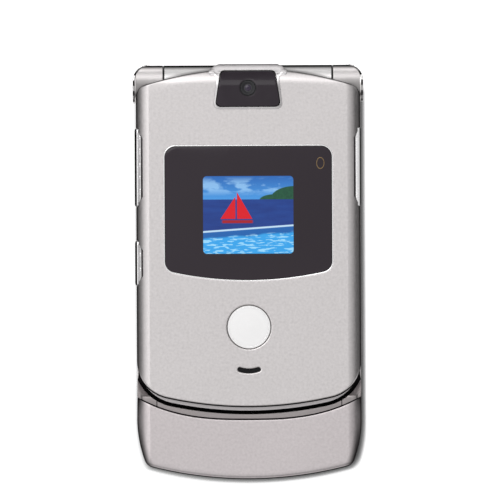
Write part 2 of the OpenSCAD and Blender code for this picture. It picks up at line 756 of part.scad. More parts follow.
module aerial_cover() {
    color([0.23, 0.23, 0.25]) difference() {
        base_form(0, 0, split_h - seat);
        box([-hw - 1, aerial_y - seat, -1], [hw + 1, y_top, split_h + 1]);
        difference() {
            base_form(wall + 0.2, wall, split_h + 1);
            box([-hw, aerial_y - wall - 0.3, 0], [hw, y_top, split_h + 1]);
        }
        for (k = [0:speaker_slots - 1]) pill(speaker_slot_l, speaker_slot_w, y_end + speaker_up
            + (k - (speaker_slots - 1) / 2) * speaker_slot_w * 1.9, -1, wall + 1);
    }
}

module aerial_carrier() {
    color([0.13, 0.13, 0.14]) difference() {
        base_form(wall + 0.15, split_h + 0.2, face_z - wall - 0.15);
        prism(above_chin(-wall - 0.15), 0, far);
        // Ribs left between two wells
        on_both_sides() box([1, y_end + 3.4, split_h], [17, chin_y - 2.6, face_z - wall - 1.4]);
    }
}

module main_board() {
    color([0.10, 0.32, 0.18]) difference() {
        prism(plate(body_w - 2 * wall - 1.2, base_mid_y - 4.8 - pocket_y0, (base_mid_y - 4.8 + pocket_y0) / 2,
            door_corner_r, 0), board_z0, board_z0 + board_t);
        on_both_sides() translate([hw - 4.5, base_mid_y - 8, board_z0 - 1]) cylinder(r = 1.1, h = 3);
    }
}

module shield_can() {
    color([0.78, 0.78, 0.76]) difference() {
        box([can_x0 + can_t, pocket_y0 + can_t, wall + 1 + can_t], [can_x1 - can_t, pocket_y1 - can_t, board_z0]);
        box([can_x0 + 2 * can_t, pocket_y0 + 2 * can_t, wall + 1 + 2 * can_t],
            [can_x1 - 2 * can_t, pocket_y1 - 2 * can_t, board_z0 + 1]);
    }
}

module dome_sheet() {
    color([0.85, 0.85, 0.80]) prism(cell([-pad_w / 2, pad_w / 2, pad_y0, pad_y1], 0), dome_z0, mat_z0);
}

// One pad of the keypad, or with g its pocket in the mat
module pad(c, g, z0, z1) {
    prism(cell(c, g), z0, z1);
}

module cluster_pad(s, upper, g, z0, z1) {
    difference() {
        pad(side_cell(s, upper), g, z0, z1);
        translate([0, nav_y, z0 - 1]) cylinder(r = nav_moat - g, h = z1 - z0 + 2, $fn = 96);
    }
}

module menu_pad(g, z0, z1) {
    difference() {
        pad(menu_cell, g, z0, z1);
        translate([0, nav_y, z0 - 1]) cylinder(r = nav_moat - g, h = z1 - z0 + 2, $fn = 96);
    }
}

module keypad_mat() {
    color([0.55, 0.70, 0.85]) difference() {
        prism(cell([-pad_w / 2, pad_w / 2, pad_y0, pad_y1], pad_rim), mat_z0, base_t - rib_drop);
        for (c = [0:2], r = [0:3]) pad(digit_cell(c, r), key_clear, mat_top, base_t);
        for (c = [0:2]) pad(send_cell(c), key_clear, mat_top, base_t);
        for (s = [-1, 1], u = [true, false]) cluster_pad(s, u, key_clear, mat_top, base_t);
        menu_pad(key_clear, mat_top, base_t);
        translate([0, nav_y, mat_top]) difference() {
            cylinder(r = nav_r + key_clear, h = base_t);
            translate([0, 0, -1]) cylinder(r = select_r + key_gap - 0.25 - key_clear, h = base_t + 2);
        }
        translate([0, nav_y, mat_top]) cylinder(r = select_r + key_clear, h = base_t);
    }
}

module loudspeaker() {
    color([0.20, 0.20, 0.20]) pill(speaker_l, speaker_w, y_end + speaker_up, wall + 0.2 + seat, split_h - wall);
}

module vibration_motor() {
    r = motor_d / 2;
    y = (pocket_y0 + pocket_y1) / 2;
    z = wall + door_t + r + 2 * seat;
    x1 = -pocket_x - 0.7;
    x0 = x1 - motor_l;
    color([0.70, 0.70, 0.68]) {
        rod_x(r, x0, x1, y, z);
        rod_x(r / 4, x0 - 0.6, x0, y, z);
        // Half-round weight on the shaft
        intersection() {
            rod_x(r - seat, x0 - 0.6 - weight_l, x0 - 0.6, y, z);
            box([-motor_x, pocket_y0, z - motor_d], [0, pocket_y1, z + r / 2]);
        }
    }
}

module sim_holder() {
    x = sim_w / 2;
    z0 = bay_z - sim_t;
    z1 = bay_z - can_t;
    color([0.75, 0.75, 0.73]) difference() {
        box([-x, battery_y1 + 0.8, z0], [x, bay_y1 - 0.4, bay_z]);
        box([-x + 3 * can_t, battery_y1, z0 + can_t], [x - 3 * can_t, bay_y1 - rib_t, z1]);
        box([-x / 2, battery_y1, z0 - 1], [x / 2, bay_y1 - 3, z1]);
    }
}

module battery() {
    color([0.16, 0.17, 0.19]) prism(plate(battery_w, battery_l, (battery_y0 + battery_y1) / 2, 1.2, 0),
        door_t + 2 * seat + 0.1, bay_z - battery_gap / 3);
}

module battery_contacts() {
    color([0.85, 0.70, 0.30]) for (k = [-1, 0, 1])
        box([k * 3 - 0.6, bay_y0 + seat / 5, bay_z - 2.6], [k * 3 + 0.6, battery_y0 - battery_gap, bay_z - 1]);
}

module charging_socket() {
    lo = [-hw + 0.15, socket_y - socket_w / 2, socket_z - socket_h / 2];
    hi = [-hw + socket_l, socket_y + socket_w / 2, socket_z + socket_h / 2];
    w = [0, socket_wall, socket_wall];
    color([0.82, 0.82, 0.80]) {
        difference() {
            box(lo, hi);
            box(lo - [1, 0, 0] + w, hi - [socket_wall, 0, 0] - w);
        }
        box([lo.x + 1.2, socket_y - socket_w / 2 + 1.2, socket_z - 0.3],
            [hi.x - socket_wall, socket_y + socket_w / 2 - 1.2, socket_z + 0.4]);
    }
}

module knuckle_caps() {
    color([0.88, 0.88, 0.90]) on_both_sides() ear(ear_out, ear_x);
}

// ---------- flip ----------

module flip_face() {
    color([0.80, 0.79, 0.79]) difference() {
        flip_form(0, seam_z, tip_y, tip_corner_r);
        flip_form(wall, seam_z - 1, tip_y, tip_corner_r);
        hinge_room();
        prism(pod_plan(seat), hinge_z, far);
        prism(panel(win_w, win_y1, win_side_h, win_bow, win_corner_r, -inlay_gap), seam_z, far);
        translate([0, badge_y, seam_z]) cylinder(r = badge_r + inlay_gap, h = flip_t);
        smile(inlay_gap, seam_z, far);
        side_key_slots();
    }
}

module flip_housing() {
    wall_in = wall + 0.7;
    color([0.66, 0.66, 0.68]) difference() {
        union() {
            prism(flip_plan(0, lip_y, tip_corner_r + lip_w), bezel_z1, seam_z - eps);
            difference() {
                prism(flip_plan(0, lip_y, tip_corner_r + lip_w), seam_z - 0.5, seam_z + 1.7);
                prism(flip_plan(-seat, tip_y, tip_corner_r), seam_z - eps, far);
            }
        }
        difference() {
            prism(flip_plan(wall_in, tip_y, tip_corner_r), 0, far);
            // Cross webs that hold the boards
            for (y = [win_y1 + 3.4, tip_y + 5]) box([-hw, y, bezel_z1], [hw, y + 1.2, seam_z - eps]);
        }
        prism(plate(lcd_w + 1, lcd_h + 1, screen_y, 0.5, 0), 0, far);
        hinge_room();
        side_key_slots();
        pill(ear_slot_l + 2.4, 3.8, ear_slot_y, 0, far);
    }
}

module hinge_barrel() {
    saddle_x = pod_shoulder_w / 2 + 0.3;
    color([0.66, 0.66, 0.68]) difference() {
        union() {
            rod_x(hinge_r, -barrel_x, barrel_x, hinge_y, hinge_z);
            on_both_sides() intersection() {
                rod_x(saddle_r, saddle_x, barrel_x, hinge_y, hinge_z);
                box([0, hinge_y - far, bezel_z1], [far, hinge_y + saddle_over, far]);
            }
            // Web that closes the flip below the camera pod
            intersection() {
                rod_x(saddle_r, -saddle_x - 1, saddle_x + 1, hinge_y, hinge_z);
                box([-far, hinge_y - far, bezel_z1], [far, hinge_y - hinge_r + 0.2, seam_z + 0.5]);
            }
        }
        // Bores for the cartridge and the left pin, and the camera's pocket
        rod_x(cartridge_r + seat, barrel_x - cartridge_l - 0.2, barrel_x - 1, hinge_y, hinge_z);
        rod_x(pin_r + seat, barrel_x - 2, barrel_x + 1, hinge_y, hinge_z);
        rod_x(pin_r + seat, -barrel_x - 1, -barrel_x + pin_reach, hinge_y, hinge_z);
        box([-camera_w / 2 - 0.2, lens_y - 3.4, hinge_z + 0.5], [camera_w / 2 + 0.2, lens_y + 3.4, far]);
    }
}

module camera_cover() {
    color([0.84, 0.83, 0.83]) difference() {
        intersection() {
            prism(pod_plan(0), hinge_z + 0.3, far);
            pod_solid(0);
        }
        rod_x(hinge_r + seat, -relief_x, relief_x, hinge_y, hinge_z);
        box([-relief_x, hinge_y - 9, 0], [relief_x, hinge_y - hinge_r + 0.3, seam_z + 0.6]);
        prism(pod_window_plan(-seat), hinge_z, far);
    }
}

module camera_window() {
    color([0.10, 0.09, 0.11]) difference() {
        intersection() {
            prism(pod_window_plan(0), hinge_z, far);
            pod_solid(pod_win_drop);
        }
        pod_solid(pod_win_drop + pod_win_t);
        box([-relief_x, hinge_y - 9, 0], [relief_x, y_top, pod_zc]);
        translate([0, lens_y, hinge_z]) cylinder(r = lens_r + seat, h = far);
    }
}

module camera_module() {
    z1 = pod_z - pod_win_drop - pod_win_t - 0.9;
    color([0.13, 0.12, 0.15]) difference() {
        union() {
            box([-camera_w / 2, lens_y - 3.2, hinge_z + 0.7], [camera_w / 2, lens_y + 3, z1]);
            translate([0, lens_y, z1 - 0.5]) cylinder(r = lens_r, h = pod_z - 0.45 - z1 + 0.5);
        }
        // Cone that narrows down to the lens
        translate([0, lens_y, pod_z - 1.05]) cylinder(r1 = lens_r * 0.5, r2 = lens_r * 0.9, h = 0.7);
        difference() {
            box([-camera_w, hinge_y, hinge_z], [camera_w, y_top, far]);
            pod_solid(pod_win_drop + pod_win_t + 0.1);
            translate([0, lens_y, 0]) cylinder(r = lens_r + seat, h = far);
        }
    }
}

module outer_window() {
    color([0.17, 0.15, 0.17]) prism(panel(win_w, win_y1, win_side_h, win_bow, win_corner_r, 0),
        face_z - win_t - seat, face_z - seat);
}

module outer_display() {
    color([0.20, 0.45, 0.75]) prism(plate(small_lcd_w, small_lcd_h, small_lcd_y, 0.6, 0),
        small_lcd_z0, small_lcd_z1);
}

module badge_disc() {
    color([0.90, 0.90, 0.91]) translate([0, badge_y, face_z - badge_t]) cylinder(r = badge_r, h = badge_t + seat);
}

module slot_mesh() {
    color([0.06, 0.06, 0.07]) smile(0, face_z - wall, face_z - 0.35);
}

module inner_bezel() {
    color([0.75, 0.75, 0.76]) difference() {
        prism(flip_plan(0, lip_y, tip_corner_r + lip_w), inner_z, bezel_z1 - eps);
        prism(plate(screen_w, screen_h, screen_y, screen_corner_r, -inlay_gap), 0, far);
        pill(ear_slot_l, slot_w, ear_slot_y, 0, far);
        hinge_room();
    }
}

module inner_window() {
    color([0.08, 0.08, 0.10]) prism(plate(screen_w, screen_h, screen_y, screen_corner_r, 0),
        inner_z + seat, bezel_z1);
}

module main_display() {
    color([0.25, 0.28, 0.33]) prism(plate(lcd_w, lcd_h, screen_y, 0.5, 0), lcd_z0, lcd_z0 + lcd_t);
}

module display_board() {
    color([0.10, 0.32, 0.18]) prism(plate(lcd_w + 4, lcd_h - 6, screen_y, 1, 0),
        flip_board_z0, flip_board_z0 + flip_board_t);
}

module earpiece() {
    color([0.15, 0.15, 0.16]) pill(ear_slot_l + 2, 3.4, ear_slot_y, bezel_z1, seam_z + 0.4);
}

module flip_bumpers() {
    color([0.22, 0.22, 0.23]) for (y = [tip_y + 9.5, hinge_y - 10]) on_both_sides()
        translate([hw - 3, y, inner_z - lid_gap * 0.8]) cylinder(r = bumper_r, h = lid_gap * 0.8);
}

module hinge_cartridge() {
    color([0.80, 0.80, 0.82]) {
        rod_x(cartridge_r, barrel_x - cartridge_l, barrel_x - 1.1, hinge_y, hinge_z);
        rod_x(pin_r, barrel_x - 1.1, ear_in + pin_reach, hinge_y, hinge_z);
        difference() {
            rod_x(pin_r, -ear_in - pin_reach, -barrel_x + pin_reach - 0.2, hinge_y, hinge_z);
            rod_x(pin_r - 0.5, -ear_in - pin_reach - 1, -barrel_x + pin_reach, hinge_y, hinge_z);
        }
    }
}

// ---------- keys ----------

module right_key(y1, l) {
    color([0.78, 0.77, 0.78]) side_key_form(y1, l, 0, 0);
}

module volume_key() {
    mirror([1, 0, 0]) right_key(long_key_y1, long_key_l);
}

module smart_key() {
    mirror([1, 0, 0]) right_key(small_key_y1, small_key_l);
}

module voice_key() {
    right_key(long_key_y1, long_key_l);
}

module cell_key(c) {
    color([0.70, 0.71, 0.74]) pad(c, 0, key_z0, base_t);
}

module cluster_key(s, upper) {
    color([0.70, 0.71, 0.74]) cluster_pad(s, upper, 0, key_z0, base_t);
}

module menu_key() {
    color([0.70, 0.71, 0.74]) menu_pad(0, key_z0, base_t);
}

module nav_ring() {
    color([0.74, 0.75, 0.77]) translate([0, nav_y, key_z0]) difference() {
        cylinder(r = nav_r, h = key_t);
        translate([0, 0, -1]) cylinder(r = select_r + key_gap - 0.25, h = key_t + 2);
    }
}

module select_key() {
    color([0.74, 0.75, 0.77]) translate([0, nav_y, key_z0]) cylinder(r = select_r, h = key_t);
}

// ---------- battery door ----------

module battery_door() {
    color([0.76, 0.76, 0.77])
        prism(plate(door_w, door_l, (door_y0 + door_y1) / 2, door_corner_r, 0), 0, door_t);
}

module door_latch() {
    color([0.55, 0.55, 0.57]) pill(latch_w, latch_l, latch_y, eps, wall);
}

front_housing();
rear_housing();
chin_cover();
aerial_cover();
aerial_carrier();
main_board();
shield_can();
dome_sheet();
keypad_mat();
loudspeaker();
vibration_motor();
sim_holder();
battery();
battery_contacts();
charging_socket();
knuckle_caps();
flip_face();
flip_housing();
hinge_barrel();
camera_cover();
camera_window();
camera_module();
outer_window();
outer_display();
badge_disc();
slot_mesh();
inner_bezel();
inner_window();
main_display();
display_board();
earpiece();
flip_bumpers();
hinge_cartridge();
volume_key();
smart_key();
voice_key();
battery_door();
door_latch();
cluster_key(-1, true);  // soft_key_left
cluster_key(1, true);  // soft_key_right
menu_key();
cluster_key(-1, false);  // message_key
cluster_key(1, false);  // browser_key
nav_ring();
select_key();
cell_key(send_cell(0));  // send_key
cell_key(send_cell(1));  // clear_key
cell_key(send_cell(2));  // end_key
cell_key(digit_cell(0, 0));  // key_1
cell_key(digit_cell(1, 0));  // key_2
cell_key(digit_cell(2, 0));  // key_3
cell_key(digit_cell(0, 1));  // key_4
cell_key(digit_cell(1, 1));  // key_5
cell_key(digit_cell(2, 1));  // key_6
cell_key(digit_cell(0, 2));  // key_7
cell_key(digit_cell(1, 2));  // key_8
cell_key(digit_cell(2, 2));  // key_9
cell_key(digit_cell(0, 3));  // key_star
cell_key(digit_cell(1, 3));  // key_0
cell_key(digit_cell(2, 3));  // key_hash
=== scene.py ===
import math

import bmesh
import bpy
import numpy as np
from mathutils import Matrix, Vector
from mathutils.geometry import delaunay_2d_cdt


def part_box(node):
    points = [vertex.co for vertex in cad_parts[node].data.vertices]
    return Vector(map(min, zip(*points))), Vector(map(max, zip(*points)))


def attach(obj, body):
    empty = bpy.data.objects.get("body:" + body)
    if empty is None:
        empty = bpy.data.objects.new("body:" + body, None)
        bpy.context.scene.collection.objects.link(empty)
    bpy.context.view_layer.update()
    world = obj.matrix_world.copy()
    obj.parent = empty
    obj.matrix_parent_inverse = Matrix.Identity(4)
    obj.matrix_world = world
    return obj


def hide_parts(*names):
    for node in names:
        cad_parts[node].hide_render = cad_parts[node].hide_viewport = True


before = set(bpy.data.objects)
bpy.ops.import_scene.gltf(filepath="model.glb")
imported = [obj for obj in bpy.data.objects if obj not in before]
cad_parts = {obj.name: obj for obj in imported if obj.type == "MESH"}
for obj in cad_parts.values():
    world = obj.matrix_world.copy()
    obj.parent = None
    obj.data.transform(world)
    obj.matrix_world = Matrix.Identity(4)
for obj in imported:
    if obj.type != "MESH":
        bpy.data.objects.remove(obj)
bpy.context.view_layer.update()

# ---------------------------------------------------------------------------
# Camera and studio. The phone lies on its back on a white sweep, seen straight
# from above through a long lens. One large soft lamp stands over it, with a
# smaller one at the upper left for the shadow.

MM = 0.001
# Width of the view, the camera's height and roll, and the point that it looks at.
VIEW_WIDTH = 500 / 4.242 * MM
CAMERA_HEIGHT, CAMERA_ROLL = 4.0, -0.27
SEEN_X, SEEN_Y, SEEN_Z = 0.32 * MM, 5.06 * MM, 13.5 * MM

scene = bpy.context.scene
scene.view_settings.view_transform = "Standard"
camera = bpy.data.objects.new("camera", bpy.data.cameras.new("camera"))
scene.collection.objects.link(camera)
camera.data.sensor_width = 36
camera.data.lens = camera.data.sensor_width * CAMERA_HEIGHT / VIEW_WIDTH
camera.location = (SEEN_X, SEEN_Y, SEEN_Z + CAMERA_HEIGHT)
camera.rotation_euler.z = math.radians(CAMERA_ROLL)
scene.camera = camera


def linked(tree, kind, settings, **inputs):
    """A node with its settings and its inputs, each a number or a socket.

    An input is named as in Blender with _ for a space, or by its number after a _.
    """
    made = tree.nodes.new(kind)
    for key, value in settings.items():
        setattr(made, key, value)
    for key, value in inputs.items():
        slot = made.inputs[int(key[1:]) if key[0] == "_" else key.replace("_", " ")]
        if isinstance(value, bpy.types.NodeSocket):
            tree.links.new(value, slot)
        else:
            slot.default_value = value
    return made


def maths(tree, kind, a, b=0.0, clamp=False):
    """The result of a sum on numbers or sockets."""
    return linked(tree, "ShaderNodeMath", {"operation": kind, "use_clamp": clamp}, _0=a, _1=b).outputs[0]


def lamp(name, place, size, watts):
    """A square area lamp that looks at the origin."""
    light = bpy.data.lights.new(name, "AREA")
    light.shape, light.size, light.energy = "SQUARE", size, watts
    stand = bpy.data.objects.new(name, light)
    scene.collection.objects.link(stand)
    stand.location = place
    stand.rotation_mode = "QUATERNION"
    stand.rotation_quaternion = (Vector() - Vector(place)).to_track_quat("-Z", "Y")


lamp("key_light", (-0.30, 0.50, 0.85), 0.74, 2.9)
lamp("overhead_light", (0.0, 0.1, 1.6), 1.5, 2.1)

# The studio, by height: grey at the horizon and white above, a little brighter on the left.
GREYS = ((0.30, 0.42), (0.50, 0.60), (0.68, 0.98), (0.80, 1.22), (0.90, 1.22), (0.96, 0.72))
LEFT_GAIN, MIDDLE_GAIN = -0.34, 0.8

world = bpy.data.worlds.new("studio")
scene.world = world
world.use_nodes = True
studio = world.node_tree
studio.nodes.clear()
sky = linked(studio, "ShaderNodeTexCoord", {})
height = linked(studio, "ShaderNodeSeparateXYZ", {}, Vector=sky.outputs["Generated"])
ramp = linked(studio, "ShaderNodeValToRGB", {}, Fac=height.outputs["Z"])
bands = ramp.color_ramp.elements
bands[0].position, bands[0].color = 0.0, (0.34, 0.34, 0.345, 1)
bands[1].position, bands[1].color = 1.0, (0.68, 0.68, 0.68, 1)
for place, grey in GREYS:
    bands.new(place).color = (grey, grey, grey, 1)
lean = linked(studio, "ShaderNodeMath", {"operation": "MULTIPLY_ADD"}, _0=height.outputs["X"],
              _1=LEFT_GAIN, _2=MIDDLE_GAIN)
glow = linked(studio, "ShaderNodeBackground", {}, Color=ramp.outputs["Color"], Strength=lean.outputs[0])
linked(studio, "ShaderNodeOutputWorld", {}, Surface=glow.outputs[0])

floor_mesh = bpy.data.meshes.new("floor")
floor_mesh.from_pydata([(x, y, -0.00002) for x, y in ((-6, -6), (6, -6), (6, 6), (-6, 6))], [], [(0, 1, 2, 3)])
floor = bpy.data.objects.new("floor", floor_mesh)
scene.collection.objects.link(floor)

# The floor is seen white, and is darkened close to the phone on the side away from the
# key lamp by a painted shadow from an ambient occlusion node, added to the lamps' own
# shadow. SHADOW_SIDE is that direction, turned up from the floor.
FLOOR_WHITE, SHADOW_REACH, SHADOW_POWER, SHADOW_SIDE = 0.78, 1.95 * MM, 4.4, (-0.6, 0.45, 0.66)

paper = bpy.data.materials.new("white_sweep")
paper.use_nodes = True
sheet = paper.node_tree
sheet.nodes.clear()
rays = linked(sheet, "ShaderNodeLightPath", {})
seen = maths(sheet, "ADD", rays.outputs["Is Camera Ray"], rays.outputs["Is Glossy Ray"], True)
seen = maths(sheet, "ADD", seen, rays.outputs["Is Transmission Ray"], True)
away = linked(sheet, "ShaderNodeCombineXYZ", {}, **dict(zip("XYZ", SHADOW_SIDE)))
clear = linked(sheet, "ShaderNodeAmbientOcclusion", {"samples": 12}, Distance=SHADOW_REACH, Normal=away.outputs[0])
painted_shadow = maths(sheet, "POWER", clear.outputs["AO"], SHADOW_POWER)
lift = maths(sheet, "MULTIPLY", maths(sheet, "MULTIPLY", seen, FLOOR_WHITE), painted_shadow)
shade = linked(sheet, "ShaderNodeMapRange", {}, Value=painted_shadow, To_Min=0.1, To_Max=0.55)
matt = linked(sheet, "ShaderNodeBsdfDiffuse", {}, Color=shade.outputs[0])
lit = linked(sheet, "ShaderNodeEmission", {}, Strength=lift)
both_shades = linked(sheet, "ShaderNodeAddShader", {}, _0=matt.outputs[0], _1=lit.outputs[0])
linked(sheet, "ShaderNodeOutputMaterial", {}, Surface=both_shades.outputs[0])
floor_mesh.materials.append(paper)

# ---------------------------------------------------------------------------
# Face cover of the flip. A pressed and anodised aluminium sheet with a satin
# blasted grain. It rolls over along both sides and round the hinge end, and its
# cut edges are bright. The openings for the window, badge and slot are stamped.

# Sizes in millimetres, in the frame's own axes: half width and hinge line, then the
# arch that bounds the hinge end in plan, and the heights of seam and face.
HALF_W = 26.5
HINGE_Y, HINGE_Z, HINGE_R = 44.3, 7.35, 4.4
ARCH_R = 80.0
ARCH_Y, ARCH_CORNER = HINGE_Y + 3.55 - ARCH_R, 3.5
SEAM_Z, FACE_Z, SHEET_T = 9.9, 13.5, 0.9
# Section of the rolled sides, and of the rolled hinge end: radius and width.
ROLL_R, ROLL_W, ROLL_FLAT = 4.5, 3.1, 0.7
ARCH_ROLL_R, ARCH_ROLL_W = 17.0, 2.4
COVER_HINGE_R, POD_HINGE_R = 6.15, HINGE_R + 0.05
# Free end: the housing's lip, the cover's tip, its corners and the radius of its bow.
LIP_Y, TIP_Y, TIP_CORNER, TIP_BOW = -32.8, -31.8, 9.0, 88
# Where the barrel ends and the knuckles begin.
BARREL_X, KNUCKLE_X = 19.8, 20.1


def arc(cx, cy, r, a0, a1, n):
    """n steps along a circle, from one bearing in degrees to the other."""
    t = np.radians(np.linspace(a0, a1, n + 1))
    return np.column_stack([cx + r * np.cos(t), cy + r * np.sin(t)])


def bearing(a, b):
    """The direction from a to b, in degrees."""
    return math.degrees(math.atan2(b[1] - a[1], b[0] - a[0]))


def closed(*parts):
    """Whole anticlockwise outline from a half one that runs down the right side."""
    half = np.vstack(parts)
    left = half[::-1] * [-1, 1]
    loop = np.vstack([half, left[left[:, 0] < -1e-6]])[::-1]
    return loop[np.linalg.norm(loop - np.roll(loop, 1, 0), axis=1) > 1e-5]


def finer(loop, step):
    """The same outline with points no further apart than step."""
    out = []
    for p, q in zip(loop, np.roll(loop, -1, 0)):
        n = max(1, int(math.ceil(np.linalg.norm(q - p) / step)))
        out += [p + (q - p) * k / n for k in range(n)]
    return np.array(out)


def inset(loop, d):
    """The loop moved into its inside by d, or out of it with a minus."""
    a, b = loop - np.roll(loop, 1, 0), np.roll(loop, -1, 0) - loop
    na, nb = [np.column_stack([-v[:, 1], v[:, 0]]) / np.linalg.norm(v, axis=1)[:, None] for v in (a, b)]
    return loop + d * (na + nb) / (1 + (na * nb).sum(1))[:, None]


def inside(points, loop):
    """Which of the points lie inside the loop."""
    x, y = points[:, 0][:, None], points[:, 1][:, None]
    (ax, ay), (bx, by) = loop.T, np.roll(loop, -1, 0).T
    with np.errstate(divide="ignore", invalid="ignore"):
        cross = ((ay > y) != (by > y)) & (x < ax + (y - ay) * (bx - ax) / (by - ay))
    return cross.sum(1) % 2 == 1


def far_from(points, loop):
    """Distance of each point from the loop's line."""
    a, b = loop, np.roll(loop, -1, 0)
    ab = b - a
    best = np.full(len(points), 1e9)
    for k in range(0, len(a), 64):
        ap = points[:, None] - a[None, k:k + 64]
        t = np.clip((ap * ab[k:k + 64]).sum(2) / np.maximum((ab[k:k + 64] ** 2).sum(1), 1e-12), 0, 1)
        best = np.minimum(best, np.linalg.norm(ap - t[..., None] * ab[k:k + 64], axis=2).min(1))
    return best


def spread(loops, points):
    """Triangles between an outer loop, the holes after it and loose points."""
    painted_shade_bands, start = [], 0
    for loop in loops:
        painted_shade_bands.append(list(range(start, start + len(loop))))
        start += len(loop)
    flat = [Vector(p) for p in np.vstack([*loops, points] if len(points) else loops)]
    v, _, f, _, _, owners = delaunay_2d_cdt(flat, [], painted_shade_bands, 1, 1e-5)
    return np.array([tuple(p) for p in v]), np.array([tri for tri, rim in zip(f, owners) if list(rim) == [0]])


def put(name, verts, faces, material, angle=32):
    """A closed mesh object from points in millimetres, its faces pointing outwards."""
    mesh = bpy.data.meshes.new(name)
    mesh.from_pydata([tuple(p) for p in np.asarray(verts) * MM], [], [tuple(int(i) for i in f) for f in faces])
    work = bmesh.new()
    work.from_mesh(mesh)
    bmesh.ops.remove_doubles(work, verts=work.verts, dist=2e-7)
    bmesh.ops.recalc_face_normals(work, faces=work.faces)
    work.to_mesh(mesh)
    work.free()
    mesh.shade_smooth()
    mesh.set_sharp_from_angle(angle=math.radians(angle))
    mesh.materials.append(material)
    made = bpy.data.objects.new(name, mesh)
    scene.collection.objects.link(made)
    return made


def slab(name, loops, top, bottom, material, points=(), edge=0.12):
    """A block between a flat bottom and a curved top, whose top edges are rounded."""
    signs = [1] + [-1] * (len(loops) - 1)
    inner = [inset(loop, edge * sign) for loop, sign in zip(loops, signs)]
    points = np.asarray(points, float).reshape(-1, 2)
    if len(points):
        keep = inside(points, inner[0]) & (far_from(points, inner[0]) > 0.12)
        for hole in inner[1:]:
            keep &= ~inside(points, hole) & (far_from(points, hole) > 0.12)
        points = points[keep]
    flat, tris = spread(inner, points)
    verts, faces = [np.column_stack([flat, top(flat)])], [tuple(t) for t in tris]
    count = len(flat)
    for loop, sign in zip(loops, signs):
        n, rings = len(loop), []
        for turn in np.radians((0, 30, 60, 90)):
            ring = inset(loop, edge * sign * (1 - math.sin(turn)))
            rings.append(np.column_stack([ring, np.maximum(top(ring) - edge * (1 - math.cos(turn)), bottom)]))
        rings.append(np.column_stack([loop, np.full(n, float(bottom))]))
        verts += rings
        for r in range(len(rings) - 1):
            for k in range(n):
                a, b = count + r * n + k, count + r * n + (k + 1) % n
                faces.append((a, a + n, b + n, b))
        count += len(rings) * n
    low, low_tris = spread(loops, np.zeros((0, 2)))
    verts.append(np.column_stack([low, np.full(len(low), float(bottom))]))
    faces += [tuple(t + count) for t in low_tris]
    return put(name, np.vstack(verts), faces, material)


def level(z):
    """A flat top for a slab."""
    return lambda p: np.full(len(p), z)


def carve(piece, cutters, angle=32):
    """Cuts the cutters out of a piece, and leaves a plain mesh."""
    for cutter in cutters:
        step = piece.modifiers.new("cut", "BOOLEAN")
        step.object, step.operation, step.solver = cutter, "DIFFERENCE", "EXACT"
    settle(piece, angle)
    for cutter in cutters:
        bpy.data.objects.remove(cutter)


def settle(piece, angle=32):
    """Turns a piece and its modifiers into one plain mesh."""
    bpy.context.view_layer.update()
    mesh = bpy.data.meshes.new_from_object(piece.evaluated_get(bpy.context.evaluated_depsgraph_get()))
    piece.modifiers.clear()
    piece.data = mesh
    mesh.shade_smooth()
    mesh.set_sharp_from_angle(angle=math.radians(angle))


def bar(name, first, second):
    """A straight block between two like rings of points."""
    n = len(first)
    faces = [(k, (k + 1) % n, n + (k + 1) % n, n + k) for k in range(n)]
    return put(name, [*first, *second], [*faces, tuple(range(n)), tuple(range(n, 2 * n))], plain)


def rod(name, r, x0, x1):
    """A round bar on the hinge line."""
    ring = arc(HINGE_Y, HINGE_Z, r, 0, 356.25, 95)
    return bar(name, *[[(x, p[0], p[1]) for p in ring] for x in (x0, x1)])


def prism(name, loop, z0, z1):
    """A straight block over an outline, used to cut with."""
    return bar(name, *[[(*p, z) for p in loop] for z in (z0, z1)])


def rectangle(x0, x1, y0, y1):
    """A box's outline, anticlockwise."""
    return np.array([[x0, y0], [x1, y0], [x1, y1], [x0, y1]])


def placed(piece, body, node=None):
    """Attaches a piece to the body that it rides on, and hides the CAD node that it stands for."""
    if node:
        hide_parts(node)
    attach(piece, body)


plain = bpy.data.materials.new("blank")


def principled(name, **inputs):
    """A new material, its tree, its shader with some inputs set, and object coordinates."""
    made = bpy.data.materials.new(name)
    made.use_nodes = True
    tree = made.node_tree
    shader = tree.nodes["Principled BSDF"]
    for key, value in inputs.items():
        shader.inputs[key.replace("_", " ")].default_value = value
    return made, tree, shader, linked(tree, "ShaderNodeTexCoord", {}).outputs["Object"]


def emboss(tree, shader, height, strength, depth):
    """Bump from a height, its depth in millimetres."""
    bump = linked(tree, "ShaderNodeBump", {}, Strength=strength, Distance=depth * MM, Height=height)
    tree.links.new(bump.outputs[0], shader.inputs["Normal"])


# Over how much height, in millimetres, a band of painted shade fades out below the height that it ends at.
PAINTED_SHADE_FADE = 0.35


